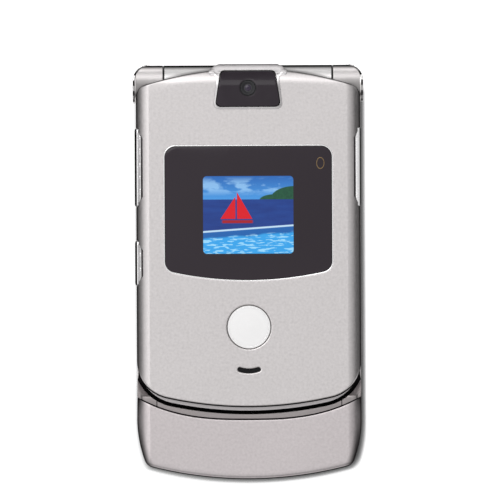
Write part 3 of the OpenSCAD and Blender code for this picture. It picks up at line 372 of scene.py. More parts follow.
def finish(name, colour, metal=0.0, rough=0.4, grain=900, tint=0.04, bump=0.05, depth=0.02, mottle=0.03,
           coat=0.0, spread_rough=0.06, sheen_tone=None, painted_shade_bands=(), shine=0.5, edge=1.0):
    """A procedural material: fine grain stretched by direction, faint mottling, and bump.

    grain is the number of grains to the metre, or three numbers along X, Y and Z. Each
    of the bands of painted shade darkens the colour towards an edge: its axis, or the centre
    in plan that it runs round, its dark and its light place in millimetres, its tone and the height that it ends at.
    edge is the tone at a grazing view.
    """
    made, tree, shader, where = principled(name, Metallic=metal, Specular_IOR_Level=shine,
                                           Specular_Tint=(edge, edge, edge, 1), Coat_Weight=coat, Coat_Roughness=0.08)
    sized = linked(tree, "ShaderNodeMapping", {}, Vector=where,
                   Scale=grain if isinstance(grain, tuple) else (grain,) * 3).outputs[0]
    fine = linked(tree, "ShaderNodeTexNoise", {}, Vector=sized, Scale=1.0, Detail=3.0, Roughness=0.6).outputs["Fac"]
    broad = linked(tree, "ShaderNodeTexNoise", {}, Vector=where, Scale=70.0, Detail=2.0).outputs["Fac"]
    mixed = linked(tree, "ShaderNodeMix", {"data_type": "FLOAT"}, Factor=mottle / (tint + mottle + 1e-6),
                   A=fine, B=broad).outputs[0]
    low = [max(c - (tint + mottle), 0) for c in colour]
    high = [min(c + (tint + mottle), 1) for c in (sheen_tone or colour)]
    shade = linked(tree, "ShaderNodeMix", {"data_type": "RGBA"}, Factor=mixed)
    shade.inputs["A"].default_value, shade.inputs["B"].default_value = (*low, 1), (*high, 1)
    painted = shade.outputs["Result"]
    # Each band of painted shade scales the colour down towards its tone near an edge or seam.
    for axis, dark, light, shade_tone, foot in painted_shade_bands:
        apart = linked(tree, "ShaderNodeSeparateXYZ", {}, Vector=where)
        lowest = linked(tree, "ShaderNodeMapRange", {}, Value=apart.outputs["Z"], From_Min=(foot - PAINTED_SHADE_FADE) * MM,
                        From_Max=foot * MM, To_Min=1.0, To_Max=shade_tone).outputs[0]
        off = apart.outputs["Y"]
        if axis != "Y":
            off = maths(tree, "ABSOLUTE", apart.outputs["X"])
        if axis not in ("X", "Y"):
            plan = linked(tree, "ShaderNodeCombineXYZ", {}, X=off, Y=apart.outputs["Y"]).outputs[0]
            off = linked(tree, "ShaderNodeVectorMath", {"operation": "DISTANCE"}, _0=plan,
                         _1=(axis[0] * MM, axis[1] * MM, 0)).outputs["Value"]
        tone = linked(tree, "ShaderNodeMapRange", {"interpolation_type": "SMOOTHSTEP"}, Value=off,
                      From_Min=dark * MM, From_Max=light * MM, To_Min=lowest, To_Max=1.0).outputs[0]
        painted = linked(tree, "ShaderNodeVectorMath", {"operation": "SCALE"}, _0=painted, Scale=tone).outputs[0]
    tree.links.new(painted, shader.inputs["Base Color"])
    gloss = linked(tree, "ShaderNodeMapRange", {}, Value=fine, From_Min=0.3, From_Max=0.7,
                   To_Min=max(rough - spread_rough, 0.02), To_Max=rough + spread_rough)
    tree.links.new(gloss.outputs[0], shader.inputs["Roughness"])
    emboss(tree, shader, fine, bump, depth)
    return made


# Bands of painted shade darken the rolled sides and a thin line along the arched hinge end.
cover_metal = finish("satin_aluminium", (0.594, 0.574, 0.570), 1.0, 0.36, 1700, 0.095, 0.35,
                     0.01, 0.016, sheen_tone=(0.594, 0.561, 0.564), edge=0.15,
                     painted_shade_bands=[("X", HALF_W, HALF_W - 2.0, 0.0, 11.6),
                           ((0, ARCH_Y), ARCH_R, ARCH_R - 0.4, 0.05, 12.5)])


def flip_outline(edge_y, corner):
    """Plan of the flip: arched hinge end, straight sides and a bowed free end."""
    top = (0, ARCH_Y)
    fx = HALF_W - ARCH_CORNER
    f = (fx, ARCH_Y + math.sqrt((ARCH_R - ARCH_CORNER) ** 2 - fx * fx))
    low = (0, edge_y + TIP_BOW)
    gx = HALF_W - corner
    g = (gx, low[1] - math.sqrt((TIP_BOW - corner) ** 2 - gx * gx))
    return closed(arc(*top, ARCH_R, 90, bearing(top, f), 30), arc(*f, ARCH_CORNER, bearing(top, f), 0, 14)[1:],
                  arc(*g, corner, 0, bearing(low, g), 24), arc(*low, TIP_BOW, bearing(low, g), -90, 24)[1:])


def side_drop(d):
    """How far the rolled side lies below the face, at d from the side plane."""
    along = np.clip(ROLL_W + ROLL_FLAT - d, ROLL_FLAT, ROLL_W + ROLL_FLAT)
    return math.sqrt(ROLL_R ** 2 - ROLL_FLAT ** 2) - np.sqrt(np.maximum(ROLL_R ** 2 - along ** 2, 0))


def arch_drop(d):
    """How far the rolled hinge end lies below the face, at d from its edge."""
    along = np.clip(ARCH_ROLL_W - d, 0, ARCH_ROLL_W)
    return ARCH_ROLL_R - np.sqrt(ARCH_ROLL_R * ARCH_ROLL_R - along ** 2)


def smooth(t):
    """A step from 0 to 1 with soft ends."""
    t = np.clip(t, 0, 1)
    return t * t * (3 - 2 * t)


endless = finer(flip_outline(-90.0, TIP_CORNER), 2.0)


def face_top(p):
    """Height of the face cover: sides rolled over, hinge end rolled to the arch."""
    side = side_drop(HALF_W - np.abs(p[:, 0]))
    arch = (arch_drop(far_from(p, endless)) * (1 - 0.8 * smooth((np.abs(p[:, 0]) - 18) / 6))
            * smooth((p[:, 1] - 40.5) / 3) * (1 - 0.5 * smooth((p[:, 1] - 45.4) / 2)))
    round_hinge = HINGE_Z + np.sqrt(np.maximum(COVER_HINGE_R ** 2 - np.maximum(p[:, 1] - HINGE_Y, 0) ** 2, 0))
    return np.minimum(FACE_Z, round_hinge) - (side ** 3 + arch ** 3) ** (1 / 3)


def panel(w, y1, side_h, bow, r, grow=0.0):
    """The outer window's plan: square at the top, bowed at the bottom, r its corners."""
    x = w / 2
    k = (x * x + bow * bow) / (2 * bow)
    b = (0, y1 - side_h - bow + k)
    gx = x - r
    g = (gx, b[1] - math.sqrt((k - r) ** 2 - gx * gx))
    return closed([[0, y1 + grow]], arc(x - r, y1 - r, r + grow, 90, 0, 12),
                  arc(*g, r + grow, 0, bearing(b, g), 12), arc(*b, k + grow, bearing(b, g), -90, 24)[1:])


def smile(l, w, y, sag, grow=0.0):
    """A slot with round ends whose middle sags."""
    r, half = w / 2 + grow, l / 2 - w / 2
    big = (half * half + sag * sag) / (2 * sag)
    lean = math.degrees(math.asin(half / big))
    over, under = [arc(0, y - sag + big, big + k * r, -90, -90 + lean, 8) for k in (-1, 1)]
    return closed(over, arc(half, y, r, 90 + lean, lean - 90, 12)[1:-1], under[::-1])


# The outer window: width, upper edge, height of its sides, bow of its lower edge, corners.
WINDOW = (39.3, 29.5, 29.1, 2.35, 2.5)
BADGE_Y, BADGE_R = -13.1, 5.08
SLOT_Y = -23.1

window_hole = finer(panel(*WINDOW, 0.1), 0.7)
badge_hole = arc(0, BADGE_Y, BADGE_R + 0.09, 0, 355, 71)
slot_hole = smile(5.3, 0.95, SLOT_Y, 0.36, 0.02)
face_loop = finer(inset(flip_outline(TIP_Y, TIP_CORNER), 0.02), 0.7)
face_points = [inset(finer(endless, 0.8), d)
               for d in (0.3, 0.6, 0.9, 1.25, 1.6, 1.95, 2.3, 2.65, 2.95, 3.1, 3.2, 3.3)]
face_points += [inset(face_loop, d) for d in (0.45, 0.7, 1.0, 1.4)]
face_points += [inset(loop, -d) for loop in (window_hole, badge_hole, slot_hole) for d in (0.45, 0.7)]
face_points.append(np.array([(x, y) for y in np.arange(40.5, 47.6, 0.7) for x in np.arange(-25.5, 25.6, 1.5)]))
face_points.append(np.array([(x, y) for y in np.arange(-41, 40, 2.5) for x in np.arange(-22.5, 22.6, 2.5)]))
face_cover = slab("face_cover", [face_loop, window_hole, badge_hole, slot_hole], face_top, SEAM_Z + 0.02,
                  cover_metal, np.vstack(face_points), edge=0.3)
hollow = slab("hollow", [finer(inset(flip_outline(TIP_Y, TIP_CORNER), SHEET_T), 2.0)],
              lambda p: face_top(p) - SHEET_T, SEAM_Z - 1, plain,
              np.vstack([inset(endless, d) for d in (1.25, 1.8, 2.4, 3.0)]), edge=0.01)
KNUCKLE_ROOM_R = HINGE_R + 0.36
rooms = [rod("room", r, x0, x1)
         for r, x0, x1 in ((5.2, -19.95, 19.95), (KNUCKLE_ROOM_R, 19.9, 29), (KNUCKLE_ROOM_R, -29, -19.9))]

# Plan of the camera pod: head at the hinge end, shoulders on the arch, flanks.
POD_PLAN = closed([[0, 49.0], [6.9, 49.0], [8.0, 48.5], [9.2, 47.5], [9.2, 46.3], [7.3, 46.3], [8.1, 39.5],
                   [7.75, 38.65], [6.9, 38.3], [0, 38.3]])


def softened(loop, r):
    """An outline with its corners rounded, each by r or as far as its sides allow."""
    out = []
    for p, q, s in zip(np.roll(loop, 1, 0), loop, np.roll(loop, -1, 0)):
        u, w = (p - q) / np.linalg.norm(p - q), (s - q) / np.linalg.norm(s - q)
        half = math.acos(float(np.clip((u * w).sum(), -1, 1))) / 2
        if half > math.radians(88):
            out.append(q)
            continue
        back = min(r / math.tan(half), 0.48 * np.linalg.norm(p - q), 0.48 * np.linalg.norm(s - q))
        rr = back * math.tan(half)
        centre = q + (u + w) / np.linalg.norm(u + w) * math.hypot(rr, back)
        a, b = q + u * back - centre, q + w * back - centre
        t0, t1 = math.atan2(a[1], a[0]), math.atan2(b[1], b[0])
        turn = (t1 - t0 + math.pi) % (2 * math.pi) - math.pi
        out += [centre + rr * np.array([math.cos(t0 + turn * k / 6), math.sin(t0 + turn * k / 6)])
                for k in range(7)]
    return np.array(out)


pod_loop = finer(softened(POD_PLAN, 0.9), 0.5)

# Side keys: upper end and length of each kind, then their foot, height and depth into
# the flip, and the room round them.
LONG_KEY, SMALL_KEY = (33.8, 18.4), (7.3, 10.5)
KEY_Z, KEY_H, KEY_DEEP = 9.0, 3.2, 1.25
KEY_GAP, KEY_TRAVEL = 0.1, 0.42


def to_side(loop, side):
    """A right-hand loop as it is, or mirrored for the left."""
    return loop if side > 0 else (loop * [-1, 1])[::-1]


def side_key_room(y1, l, side):
    """Plan of the slot that a side key moves in."""
    return to_side(rectangle(HALF_W - KEY_DEEP - KEY_GAP - KEY_TRAVEL, HALF_W + 1.5, y1 - l - KEY_GAP,
                             y1 + KEY_GAP), side)


def side_key_opening(y1, l, side):
    """Plan of the opening over a side key, whose ends slant out to the side."""
    y0, x0, x1 = y1 - l, HALF_W - 1.6, HALF_W + 1.5
    return to_side(np.array([[x0, y0 + 2.3], [HALF_W - 0.1, y0 - 0.1], [x1, y0 - 0.1], [x1, y1 + 0.1],
                             [HALF_W - 0.1, y1 + 0.1], [x0, y1 - 2.3]]), side)


# Each side key's place, and its side: 1 for the right. The names are those of the CAD
# nodes that lie there, because each cap is driven by the joint of its own node.
SIDE_KEYS = {"voice_key": (LONG_KEY, 1), "volume_key": (LONG_KEY, -1), "smart_key": (SMALL_KEY, -1)}


cutters = [hollow, *rooms, prism("pod_room", inset(pod_loop, -0.02), HINGE_Z, 20)]
for size, side in SIDE_KEYS.values():
    cutters += [prism("slot", side_key_room(*size, side), KEY_Z - 0.12, KEY_Z + KEY_H + 0.1),
                prism("opening", side_key_opening(*size, side), KEY_Z + KEY_H - 0.3, 20)]
carve(face_cover, cutters)
placed(face_cover, "flip", "flip_face")

# ---------------------------------------------------------------------------
# Camera pod. A smooth metallised moulding that wraps the middle of the hinge and
# stands a little above the face. It holds a smoked window with bevelled corners.

POD_Z, POD_R, POD_YC = 13.9, 5.75, 43.25
POD_ZC, SHOULDER_Y = POD_Z - POD_R, 46.2


def pod_window_plan(grow):
    """Plan of the pod's window, with its bevelled corners."""
    a, b, y1, y0 = 6.6 + grow, 7.6 + grow, 47.4 + grow, 38.85 - grow
    return closed([[0, y1], [a - 1, y1], [a - 0.3, y1 - 0.3], [a, y1 - 1], [b, y0 + 1], [b - 0.3, y0 + 0.3],
                   [b - 1, y0], [0, y0]])


pod_hole = finer(softened(pod_window_plan(0.07), 1.0), 0.5)


def pod_top(p):
    """Height of the pod: a round head on the hinge, whose shoulders and flanks meet the face."""
    over = np.clip(p[:, 1] - POD_YC, 0, POD_R)
    crown = POD_ZC + np.sqrt(np.maximum(POD_R ** 2 - over ** 2, 0))
    d = far_from(p, pod_loop)
    head = smooth((p[:, 1] - SHOULDER_Y - 0.8 * smooth((np.abs(p[:, 0]) - 7.2) / 0.8)) / 0.9)
    round_edge = crown - 0.9 * (1 - np.sqrt(1 - np.clip(1.0 - d, 0, 1) ** 2))
    face = face_top(np.column_stack([p[:, 0], np.minimum(p[:, 1], SHOULDER_Y + 0.2)]))
    flank = face + 0.02 + (np.maximum(crown - 0.12, face) - face) * smooth(d / 0.75)
    return np.maximum(head * round_edge + (1 - head) * flank, HINGE_Z + 0.36)


# Bands of painted shade darken the head's top lip and, a little, the shoulders.
pod_silver = finish("bright_silver_lacquer", (0.66, 0.64, 0.645), 1.0, 0.30, 900, 0.004, 0.05,
                    0.003, 0.008, painted_shade_bands=[("Y", 49.05, 48.7, 0.3, 9.5), ("X", 9.3, 8.1, 0.8, 9.5)],
                    edge=0.1)
rows = [[(x, POD_YC + POD_R * math.sin(math.radians(a))) for x in np.arange(-9, 9.1, 0.5)]
        for a in range(0, 90, 5)]
pod_points = [inset(pod_loop, d) for d in (0.12, 0.25, 0.4, 0.6, 0.8, 1.0)]
pod_points += [inset(pod_hole, -d) for d in (0.2, 0.4, 0.55)]
pod_cover = slab("pod_cover", [pod_loop, pod_hole], pod_top, HINGE_Z + 0.3, pod_silver,
                 np.vstack(pod_points + [np.array(r) for r in rows]), edge=0.06)
below_pod = prism("below_pod", rectangle(-12, 12, 30, 40.2), 0, 10.5)
carve(pod_cover, [rod("room", POD_HINGE_R, -12, 12), below_pod,
                  prism("window_room", pod_window_plan(0.07), HINGE_Z - 1, 12.6)], 40)
placed(pod_cover, "flip", "camera_cover")

# Smoked window of the pod: polished plastic that follows the pod's curve, with the
# bore for the lens.

LENS_Y, LENS_R = 43.3, 1.85

smoke = finish("smoked_window", (0.030, 0.0235, 0.030), 0.0, 0.09, 300, 0.004, 0.02, 0.002,
               0.004, spread_rough=0.02, shine=0.2)


def pod_glass_top(p):
    """Height of the pod's window: the pod's own curve, sunk a little."""
    over = np.clip(p[:, 1] - POD_YC, 0, POD_R - 0.15)
    return POD_ZC + np.sqrt(np.maximum((POD_R - 0.15) ** 2 - over ** 2, 0))


glass_loop = finer(softened(pod_window_plan(-0.12), 1.0), 0.4)
lens_hole = arc(0, LENS_Y, LENS_R + 0.06, 0, 352.5, 47)
rows = np.array([(x, y) for y in np.arange(POD_YC, 47.3, 0.25) for x in np.arange(-7, 7.1, 0.7)])
pod_glass = slab("pod_window", [glass_loop, lens_hole], pod_glass_top, 10.6, smoke, rows, edge=0.1)
under = slab("under", [finer(inset(glass_loop, -0.5), 1.0)], lambda p: pod_glass_top(p) - 0.7, 5.0, plain,
             rows, edge=0.01)
carve(pod_glass, [under])
placed(pod_glass, "flip", "camera_window")

# ---------------------------------------------------------------------------
# Camera lens. A stepped black barrel with turned rings and a small coated glass
# that glints violet, seated in the moulded module under the pod's window.


def turned(name, profile, centre, material, n=96):
    """A closed solid of revolution round an upright axis, from a profile of (r, z)."""
    verts, faces, m = [], [], len(profile)
    for k in range(n):
        t = 2 * math.pi * k / n
        verts += [(centre[0] + r * math.cos(t), centre[1] + r * math.sin(t), z) for r, z in profile]
    for k in range(n):
        for j in range(m):
            faces.append((k * m + j, k * m + (j + 1) % m, (k + 1) % n * m + (j + 1) % m, (k + 1) % n * m + j))
    return put(name, verts, faces, material)


barrel_black = finish("turned_black", (0.004, 0.003, 0.0045), 0.0, 0.5, (400, 400, 4000), 0.001, 0.1, 0.004,
                      0.001, shine=0.03)
lens_top = POD_Z - 0.45
steps = [(LENS_R, 10.8), (LENS_R, lens_top - 0.06), (LENS_R - 0.06, lens_top), (LENS_R - 0.2, lens_top)]
for k in range(3):
    r, z = LENS_R - 0.22 - 0.26 * k, lens_top - 0.02 - 0.2 * k
    steps += [(r, z), (r - 0.05, z - 0.17), (r - 0.22, z - 0.19)]
steps += [(0.9, lens_top - 0.75), (0.9, 10.8)]
lens_barrel = turned("lens_barrel", steps, (0, LENS_Y), barrel_black)
lens_coat = finish("coated_lens", (0.022, 0.007, 0.028), 0.0, 0.05, 200, 0.002, 0.0, 0.001, 0.006,
                   spread_rough=0.01, sheen_tone=(0.014, 0.008, 0.036))
GLASS_R = 0.89
dome = [(GLASS_R * math.sin(math.radians(a)), lens_top - 0.78 + 0.34 * math.cos(math.radians(a)))
        for a in range(90, 0, -9)]
lens_glass = turned("lens_glass", [(0.002, 10.9), (GLASS_R, 10.9)] + dome + [(0.002, lens_top - 0.44)],
                    (0, LENS_Y), lens_coat)
placed(lens_barrel, "flip")
placed(lens_glass, "flip")

black_plastic = finish("moulded_black", (0.035, 0.035, 0.038), 0.0, 0.48, 1500, 0.008, 0.25, 0.01, 0.006)


def dress(material, *names):
    """Gives CAD nodes their material."""
    for name in names:
        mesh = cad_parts[name].data
        mesh.materials.clear()
        mesh.materials.append(material)


dress(black_plastic, "camera_module", "loudspeaker", "earpiece", "aerial_carrier")

# ---------------------------------------------------------------------------
# Outer window and small display. The window is a polished smoked sheet, printed
# dark behind except over the display, and set in the face with a fine gap. The
# display shows a plain seaside scene: sky, cloud, green headland, sea and a sail.

GLASS_TOP = FACE_Z - 0.05
# The lit part of the window: from and to X, from and to Y.
VIEW_BOX = (-10.7, 10.6, 4.2, 22.5)


class Painter:
    """Small sums on shader sockets, for drawing flat shapes in millimetres."""

    def __init__(self, tree, vector):
        self.tree = tree
        apart = linked(tree, "ShaderNodeSeparateXYZ", {}, Vector=vector)
        self.x, self.y = [self.times(apart.outputs[k], 1 / MM) for k in ("X", "Y")]

    def sum(self, *given):
        return maths(self.tree, *given)

    def plus(self, *given):
        return self.sum("ADD", *given)

    def less(self, *given):
        return self.sum("SUBTRACT", *given)

    def times(self, *given):
        return self.sum("MULTIPLY", *given)

    def under(self, value, limit, soft=0.12):
        """1 where value is below limit, 0 above, with a soft edge."""
        gap = self.less(limit, value)
        return self.plus(self.sum("DIVIDE", gap, soft), 0.5, True)

    def between(self, value, low, high, soft=0.12):
        """1 where value is between low and high."""
        return self.times(self.under(value, high, soft), self.under(self.times(value, -1), -low, soft))

    def rounded(self, x0, x1, y0, y1, r, soft=0.1):
        """1 inside a box with round corners."""
        out = []
        for v, a, b in ((self.x, x0, x1), (self.y, y0, y1)):
            off = self.sum("ABSOLUTE", self.less(v, (a + b) / 2))
            out.append(self.sum("MAXIMUM", self.less(off, (b - a) / 2 - r), 0))
        d = self.sum("SQRT", self.plus(self.times(out[0], out[0]), self.times(out[1], out[1])))
        return self.under(d, r, soft)

    def disc(self, cx, cy, rx, ry, soft=0.12):
        """1 inside an oval."""
        a = self.sum("DIVIDE", self.less(self.x, cx), rx)
        b = self.sum("DIVIDE", self.less(self.y, cy), ry)
        d = self.sum("SQRT", self.plus(self.times(a, a), self.times(b, b)))
        return self.under(d, 1.0, soft / min(rx, ry))

    def line(self, x0, y0, slope):
        """1 below the line through x0, y0."""
        rise = self.times(self.less(self.x, x0), slope)
        return self.under(self.y, self.plus(rise, y0))

    def noise(self, vector, scale, detail=3.0, stretch=(1, 1, 1)):
        """Soft noise, its scale to the metre, drawn out along X or Y."""
        sized = linked(self.tree, "ShaderNodeMapping", {}, Vector=vector, Scale=stretch)
        made = linked(self.tree, "ShaderNodeTexNoise", {}, Vector=sized.outputs[0], Scale=scale, Detail=detail)
        return made.outputs["Fac"]

    def over(self, base, colour, mask):
        """The base with a colour laid over it where the mask is 1."""
        made = linked(self.tree, "ShaderNodeMix", {"data_type": "RGBA"}, Factor=mask)
        for key, value in (("A", base), ("B", colour)):
            if isinstance(value, bpy.types.NodeSocket):
                self.tree.links.new(value, made.inputs[key])
            else:
                made.inputs[key].default_value = (*value, 1)
        return made.outputs["Result"]

    def layers(self, base, *rest):
        """The base under several layers, each a colour and its mask."""
        for colour, mask in rest:
            base = self.over(base, colour, mask)
        return base


def glass_with_picture(name, dark, draw, box, corner, glow):
    """Polished dark glass with a lit picture inside a rounded box."""
    made, tree, shader, where = principled(name, Roughness=0.06, IOR=1.40, Emission_Strength=glow)
    brush = Painter(tree, where)
    picture = draw(brush, where)
    mask = brush.rounded(*box, corner)
    tree.links.new(brush.over(dark, brush.over((0, 0, 0), picture, 0.55), mask), shader.inputs["Base Color"])
    tree.links.new(brush.over((0, 0, 0), picture, mask), shader.inputs["Emission Color"])
    emboss(tree, shader, brush.noise(where, 120.0, 2.0), 0.02, 0.02)
    return made


def seaside(brush, where):
    """A blue sky, a headland, a dark sea with a red sail, a line of surf and clear water."""
    sky = brush.over((0.016, 0.105, 0.37), (0.055, 0.27, 0.64),
                     brush.sum("DIVIDE", brush.less(22.5, brush.y), 6.0, True))
    cloud = brush.times(brush.under(0.50, brush.noise(where, 420.0, 4.0, (0.55, 1.4, 1)), 0.12),
                        brush.between(brush.y, 18.6, 21.6, 1.6))
    hill = brush.sum("MAXIMUM", brush.disc(10.8, 17.0, 5.6, 3.1), brush.disc(6.2, 16.8, 3.6, 1.4))
    leaves = brush.over((0.004, 0.035, 0.024), (0.016, 0.10, 0.045), brush.noise(where, 1500.0, 3.0))
    deep = brush.over((0.006, 0.022, 0.15), (0.012, 0.055, 0.26),
                      brush.noise(where, 500.0, 3.0, (0.4, 2.0, 1)))
    slant = brush.less(brush.y, brush.times(brush.x, 0.07))
    shoal = brush.plus(7.6, brush.times(brush.noise(where, 160.0, 2.0, (1, 0.2, 1)), 1.8))
    glitter = brush.times(brush.under(0.55, brush.noise(where, 900.0, 3.0, (0.5, 2.4, 1)), 0.05),
                          brush.under(slant, 8.6, 0.6))
    aloft = brush.between(brush.y, 12.4, 20)
    jib = brush.times(brush.times(brush.line(-6.6, 12.4, 1.5), brush.under(brush.x, -3.1)), aloft)
    main = brush.times(brush.times(brush.line(0.9, 12.4, -1.75), brush.under(brush.times(brush.x, -1), 2.7)), aloft)
    hull = brush.times(brush.between(brush.y, 11.4, 12.1), brush.between(brush.x, -6.2, 1.0, 0.4))
    return brush.layers(sky, ((0.34, 0.60, 0.84), brush.times(cloud, 0.55)), (leaves, hill),
                        (deep, brush.under(brush.y, 17.0, 0.1)),
                        ((0.45, 0.62, 0.76), brush.under(slant, 10.3, 0.15)),
                        ((0.010, 0.10, 0.34), brush.under(slant, 9.9, 0.15)),
                        ((0.030, 0.30, 0.67), brush.under(slant, shoal, 0.5)),
                        ((0.42, 0.74, 0.88), brush.times(glitter, 0.6)),
                        ((0.56, 0.004, 0.012), brush.sum("MAXIMUM", jib, main)), ((0.30, 0.008, 0.016), hull))


outer_glass = glass_with_picture("outer_window_glass", (0.021, 0.0135, 0.020), seaside, VIEW_BOX, 0.9, 0.72)
window_loop = finer(panel(*WINDOW), 0.7)
outer_window = slab("window_glass", [window_loop], level(GLASS_TOP), GLASS_TOP - 0.8, outer_glass, edge=0.12)
placed(outer_window, "flip", "outer_window")

screen_glass = finish("display_module", (0.05, 0.06, 0.08), 0.0, 0.15, 200, 0.01, 0.02, 0.002, 0.01)
circuit = finish("circuit_board", (0.020, 0.115, 0.050), 0.0, 0.35, (900, 250, 900), 0.018, 0.5, 0.01, 0.02, coat=0.3)
dress(screen_glass, "outer_display", "main_display")
dress(circuit, "display_board", "main_board")

# A fine bright trim round the window, with a low crest.

trim_metal = finish("bright_trim", (0.96, 0.95, 0.955), 1.0, 0.25, 900, 0.006, 0.05, 0.003, 0.006)
trim_lines = [finer(panel(*WINDOW, grow), 0.6) for grow in (0.36, 0.22, 0.08)]


def trim_top(p):
    """A low crest along the middle of the trim."""
    return FACE_Z + 0.05 - 0.4 * np.abs(far_from(p, trim_lines[0]) - 0.14)


window_trim = slab("window_trim", [trim_lines[0], trim_lines[2]], trim_top, FACE_Z - 0.3, trim_metal,
                   trim_lines[1], edge=0.015)
placed(window_trim, "flip")

# A small oval sensor mark in the window's corner: a faint gold ring printed on the glass.

gold_ink = finish("gold_ink", (0.20, 0.13, 0.06), 0.6, 0.35, 3000, 0.04, 0.1, 0.002, 0.02)
oval = arc(0, 0, 1, 0, 352.5, 47)
ring_out, ring_in = [oval * size + [17.0, 25.5] for size in ([0.95, 1.4], [0.78, 1.2])]
sensor_mark = slab("sensor_mark", [ring_out, ring_in], level(GLASS_TOP + 0.015), GLASS_TOP - 0.05, gold_ink,
                   edge=0.005)
placed(sensor_mark, "flip")

# ---------------------------------------------------------------------------
# Round badge. A plain spun aluminium disc, pressed into the face and left bare,
# with a fine turned finish and a bevelled rim.


def spun(name, colour, centre):
    """Metal with fine rings turned round an upright axis."""
    rough, rings, tint = 0.3, 2400.0, 0.02
    made, tree, shader, where = principled(name, Metallic=1.0)
    centred = linked(tree, "ShaderNodeMapping", {}, Vector=where,
                     Location=(-centre[0] * MM, -centre[1] * MM, 0)).outputs[0]
    flat = linked(tree, "ShaderNodeVectorMath", {"operation": "MULTIPLY"}, _0=centred, _1=(1, 1, 0)).outputs[0]
    far = linked(tree, "ShaderNodeVectorMath", {"operation": "LENGTH"}, _0=flat).outputs["Value"]
    line = linked(tree, "ShaderNodeCombineXYZ", {}, X=far).outputs[0]
    fine = linked(tree, "ShaderNodeTexNoise", {}, Vector=line, Scale=rings, Detail=3.0).outputs["Fac"]
    shade = linked(tree, "ShaderNodeMix", {"data_type": "RGBA"}, Factor=fine)
    shade.inputs["A"].default_value = (*[c - tint for c in colour], 1)
    shade.inputs["B"].default_value = (*[min(c + tint, 1) for c in colour], 1)
    tree.links.new(shade.outputs["Result"], shader.inputs["Base Color"])
    gloss = linked(tree, "ShaderNodeMapRange", {}, Value=fine, To_Min=rough - 0.05, To_Max=rough + 0.05)
    tree.links.new(gloss.outputs[0], shader.inputs["Roughness"])
    emboss(tree, shader, fine, 0.25, 0.006)
    return made


badge_metal = spun("spun_aluminium", (0.90, 0.893, 0.893), (0, BADGE_Y))
badge_top = FACE_Z + 0.05
rim = [(0, -0.12), (0.1, 0), (0.32, 0), (0.36, -0.05), (0.44, -0.05), (0.48, 0)]
badge = turned("badge", [(0.002, 12.9), (BADGE_R, 12.9), *[(BADGE_R - back, badge_top + up) for back, up in rim],
                         (0.002, badge_top + 0.04)], (0, BADGE_Y), badge_metal, 144)
placed(badge, "flip", "badge_disc")

# ---------------------------------------------------------------------------
# Slot for the second earpiece. A fine black woven mesh behind the stamped slot.


def woven(name, colour, pitch):
    """Fine square weave of wires, by the sine of X and Y."""
    made, tree, shader, where = principled(name, Roughness=0.6, Specular_IOR_Level=0.15)
    brush = Painter(tree, where)
    waves = [brush.sum("SINE", brush.times(v, 2 * math.pi / pitch)) for v in (brush.x, brush.y)]
    weave = brush.plus(brush.times(brush.times(*waves), 0.5), 0.5)
    woof = brush.over([c * 0.3 for c in colour], [min(c * 1.8, 1) for c in colour], weave)
    tree.links.new(woof, shader.inputs["Base Color"])
    emboss(tree, shader, weave, 0.8, 0.05)
    return made


mesh_cloth = woven("black_mesh", (0.008, 0.008, 0.009), 0.22)
dress(mesh_cloth, "slot_mesh")

# ---------------------------------------------------------------------------
# Side keys. Bright plated strips with slanted ends, sprung in slots in the flip's
# sides: a long rocker and a small key on the left, a long key on the right.


def eased(name, node, material, body, width=0.12):
    """A piece made from a CAD node, with its sharp edges eased and its curves smooth."""
    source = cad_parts[node]
    mesh = source.data.copy()
    mesh.transform(source.matrix_world)
    mesh.name = name
    work = bmesh.new()
    work.from_mesh(mesh)
    bmesh.ops.remove_doubles(work, verts=work.verts, dist=1e-6)
    bmesh.ops.dissolve_limit(work, angle_limit=math.radians(1.0), verts=work.verts, edges=work.edges)
    work.to_mesh(mesh)
    work.free()
    mesh.materials.clear()
    mesh.materials.append(material)
    made = bpy.data.objects.new(name, mesh)
    scene.collection.objects.link(made)
    if width:
        step = made.modifiers.new("edges", "BEVEL")
        step.width, step.segments = width * MM, 2
        step.limit_method, step.angle_limit = "ANGLE", math.radians(40)
        step.use_clamp_overlap = True
    settle(made, 25)
    placed(made, body, node)
    return made


# A band of painted shade makes the keys' outer faces black above 10.3 mm.
plated = finish("plated_side_key", (0.74, 0.73, 0.735), 1.0, 0.22, (400, 60, 400), 0.01, 0.08, 0.004, 0.01,
                painted_shade_bands=[("X", 26.42, 26.22, 0.0, 10.3)], edge=0.1)


def side_key_top(p):
    """Low crown across a side key, rolled down along its outer edge, with a fine groove on the left."""
    out = np.clip((np.abs(p[:, 0]) - (HALF_W - 0.55)) / 1.05, 0, 1)
    step = 0.3 * np.exp(-((p[:, 0] + HALF_W - 0.7) / 0.13) ** 2)
    return (KEY_Z + KEY_H - 0.02 - step - 1.5 * (1 - np.sqrt(1 - out ** 2))
            - 0.10 * np.clip(HALF_W - 0.55 - np.abs(p[:, 0]), 0, 1))


for key, (size, side) in SIDE_KEYS.items():
    y1, l = size
    x0, x1, y0 = HALF_W - KEY_DEEP, HALF_W + (0.28 if side < 0 else 0.06), y1 - l
    plan = [[x0, y0], [x1 - 0.35, y0], [x1 - 0.1, y0 + 0.15], [x1, y0 + 0.6], [x1, y1 - 0.6],
            [x1 - 0.1, y1 - 0.15], [x1 - 0.35, y1], [x0, y1]]
    loop = finer(to_side(np.array(plan), side), 0.6)
    rows = np.array([(side * x, y) for y in np.arange(y0 + 0.3, y1, 0.5) for x in np.arange(x0 + 0.1, x1, 0.1)])
    cap = slab(key + "_cap", [loop], side_key_top, KEY_Z, plated, rows, edge=0.12)
    if size is LONG_KEY:
        notch = to_side(rectangle(24, 28, y1 - 2.25, y1 - 2.1), side)
        carve(cap, [prism("notch", notch, KEY_Z + KEY_H - 0.22, 15)])
    placed(cap, key, key)
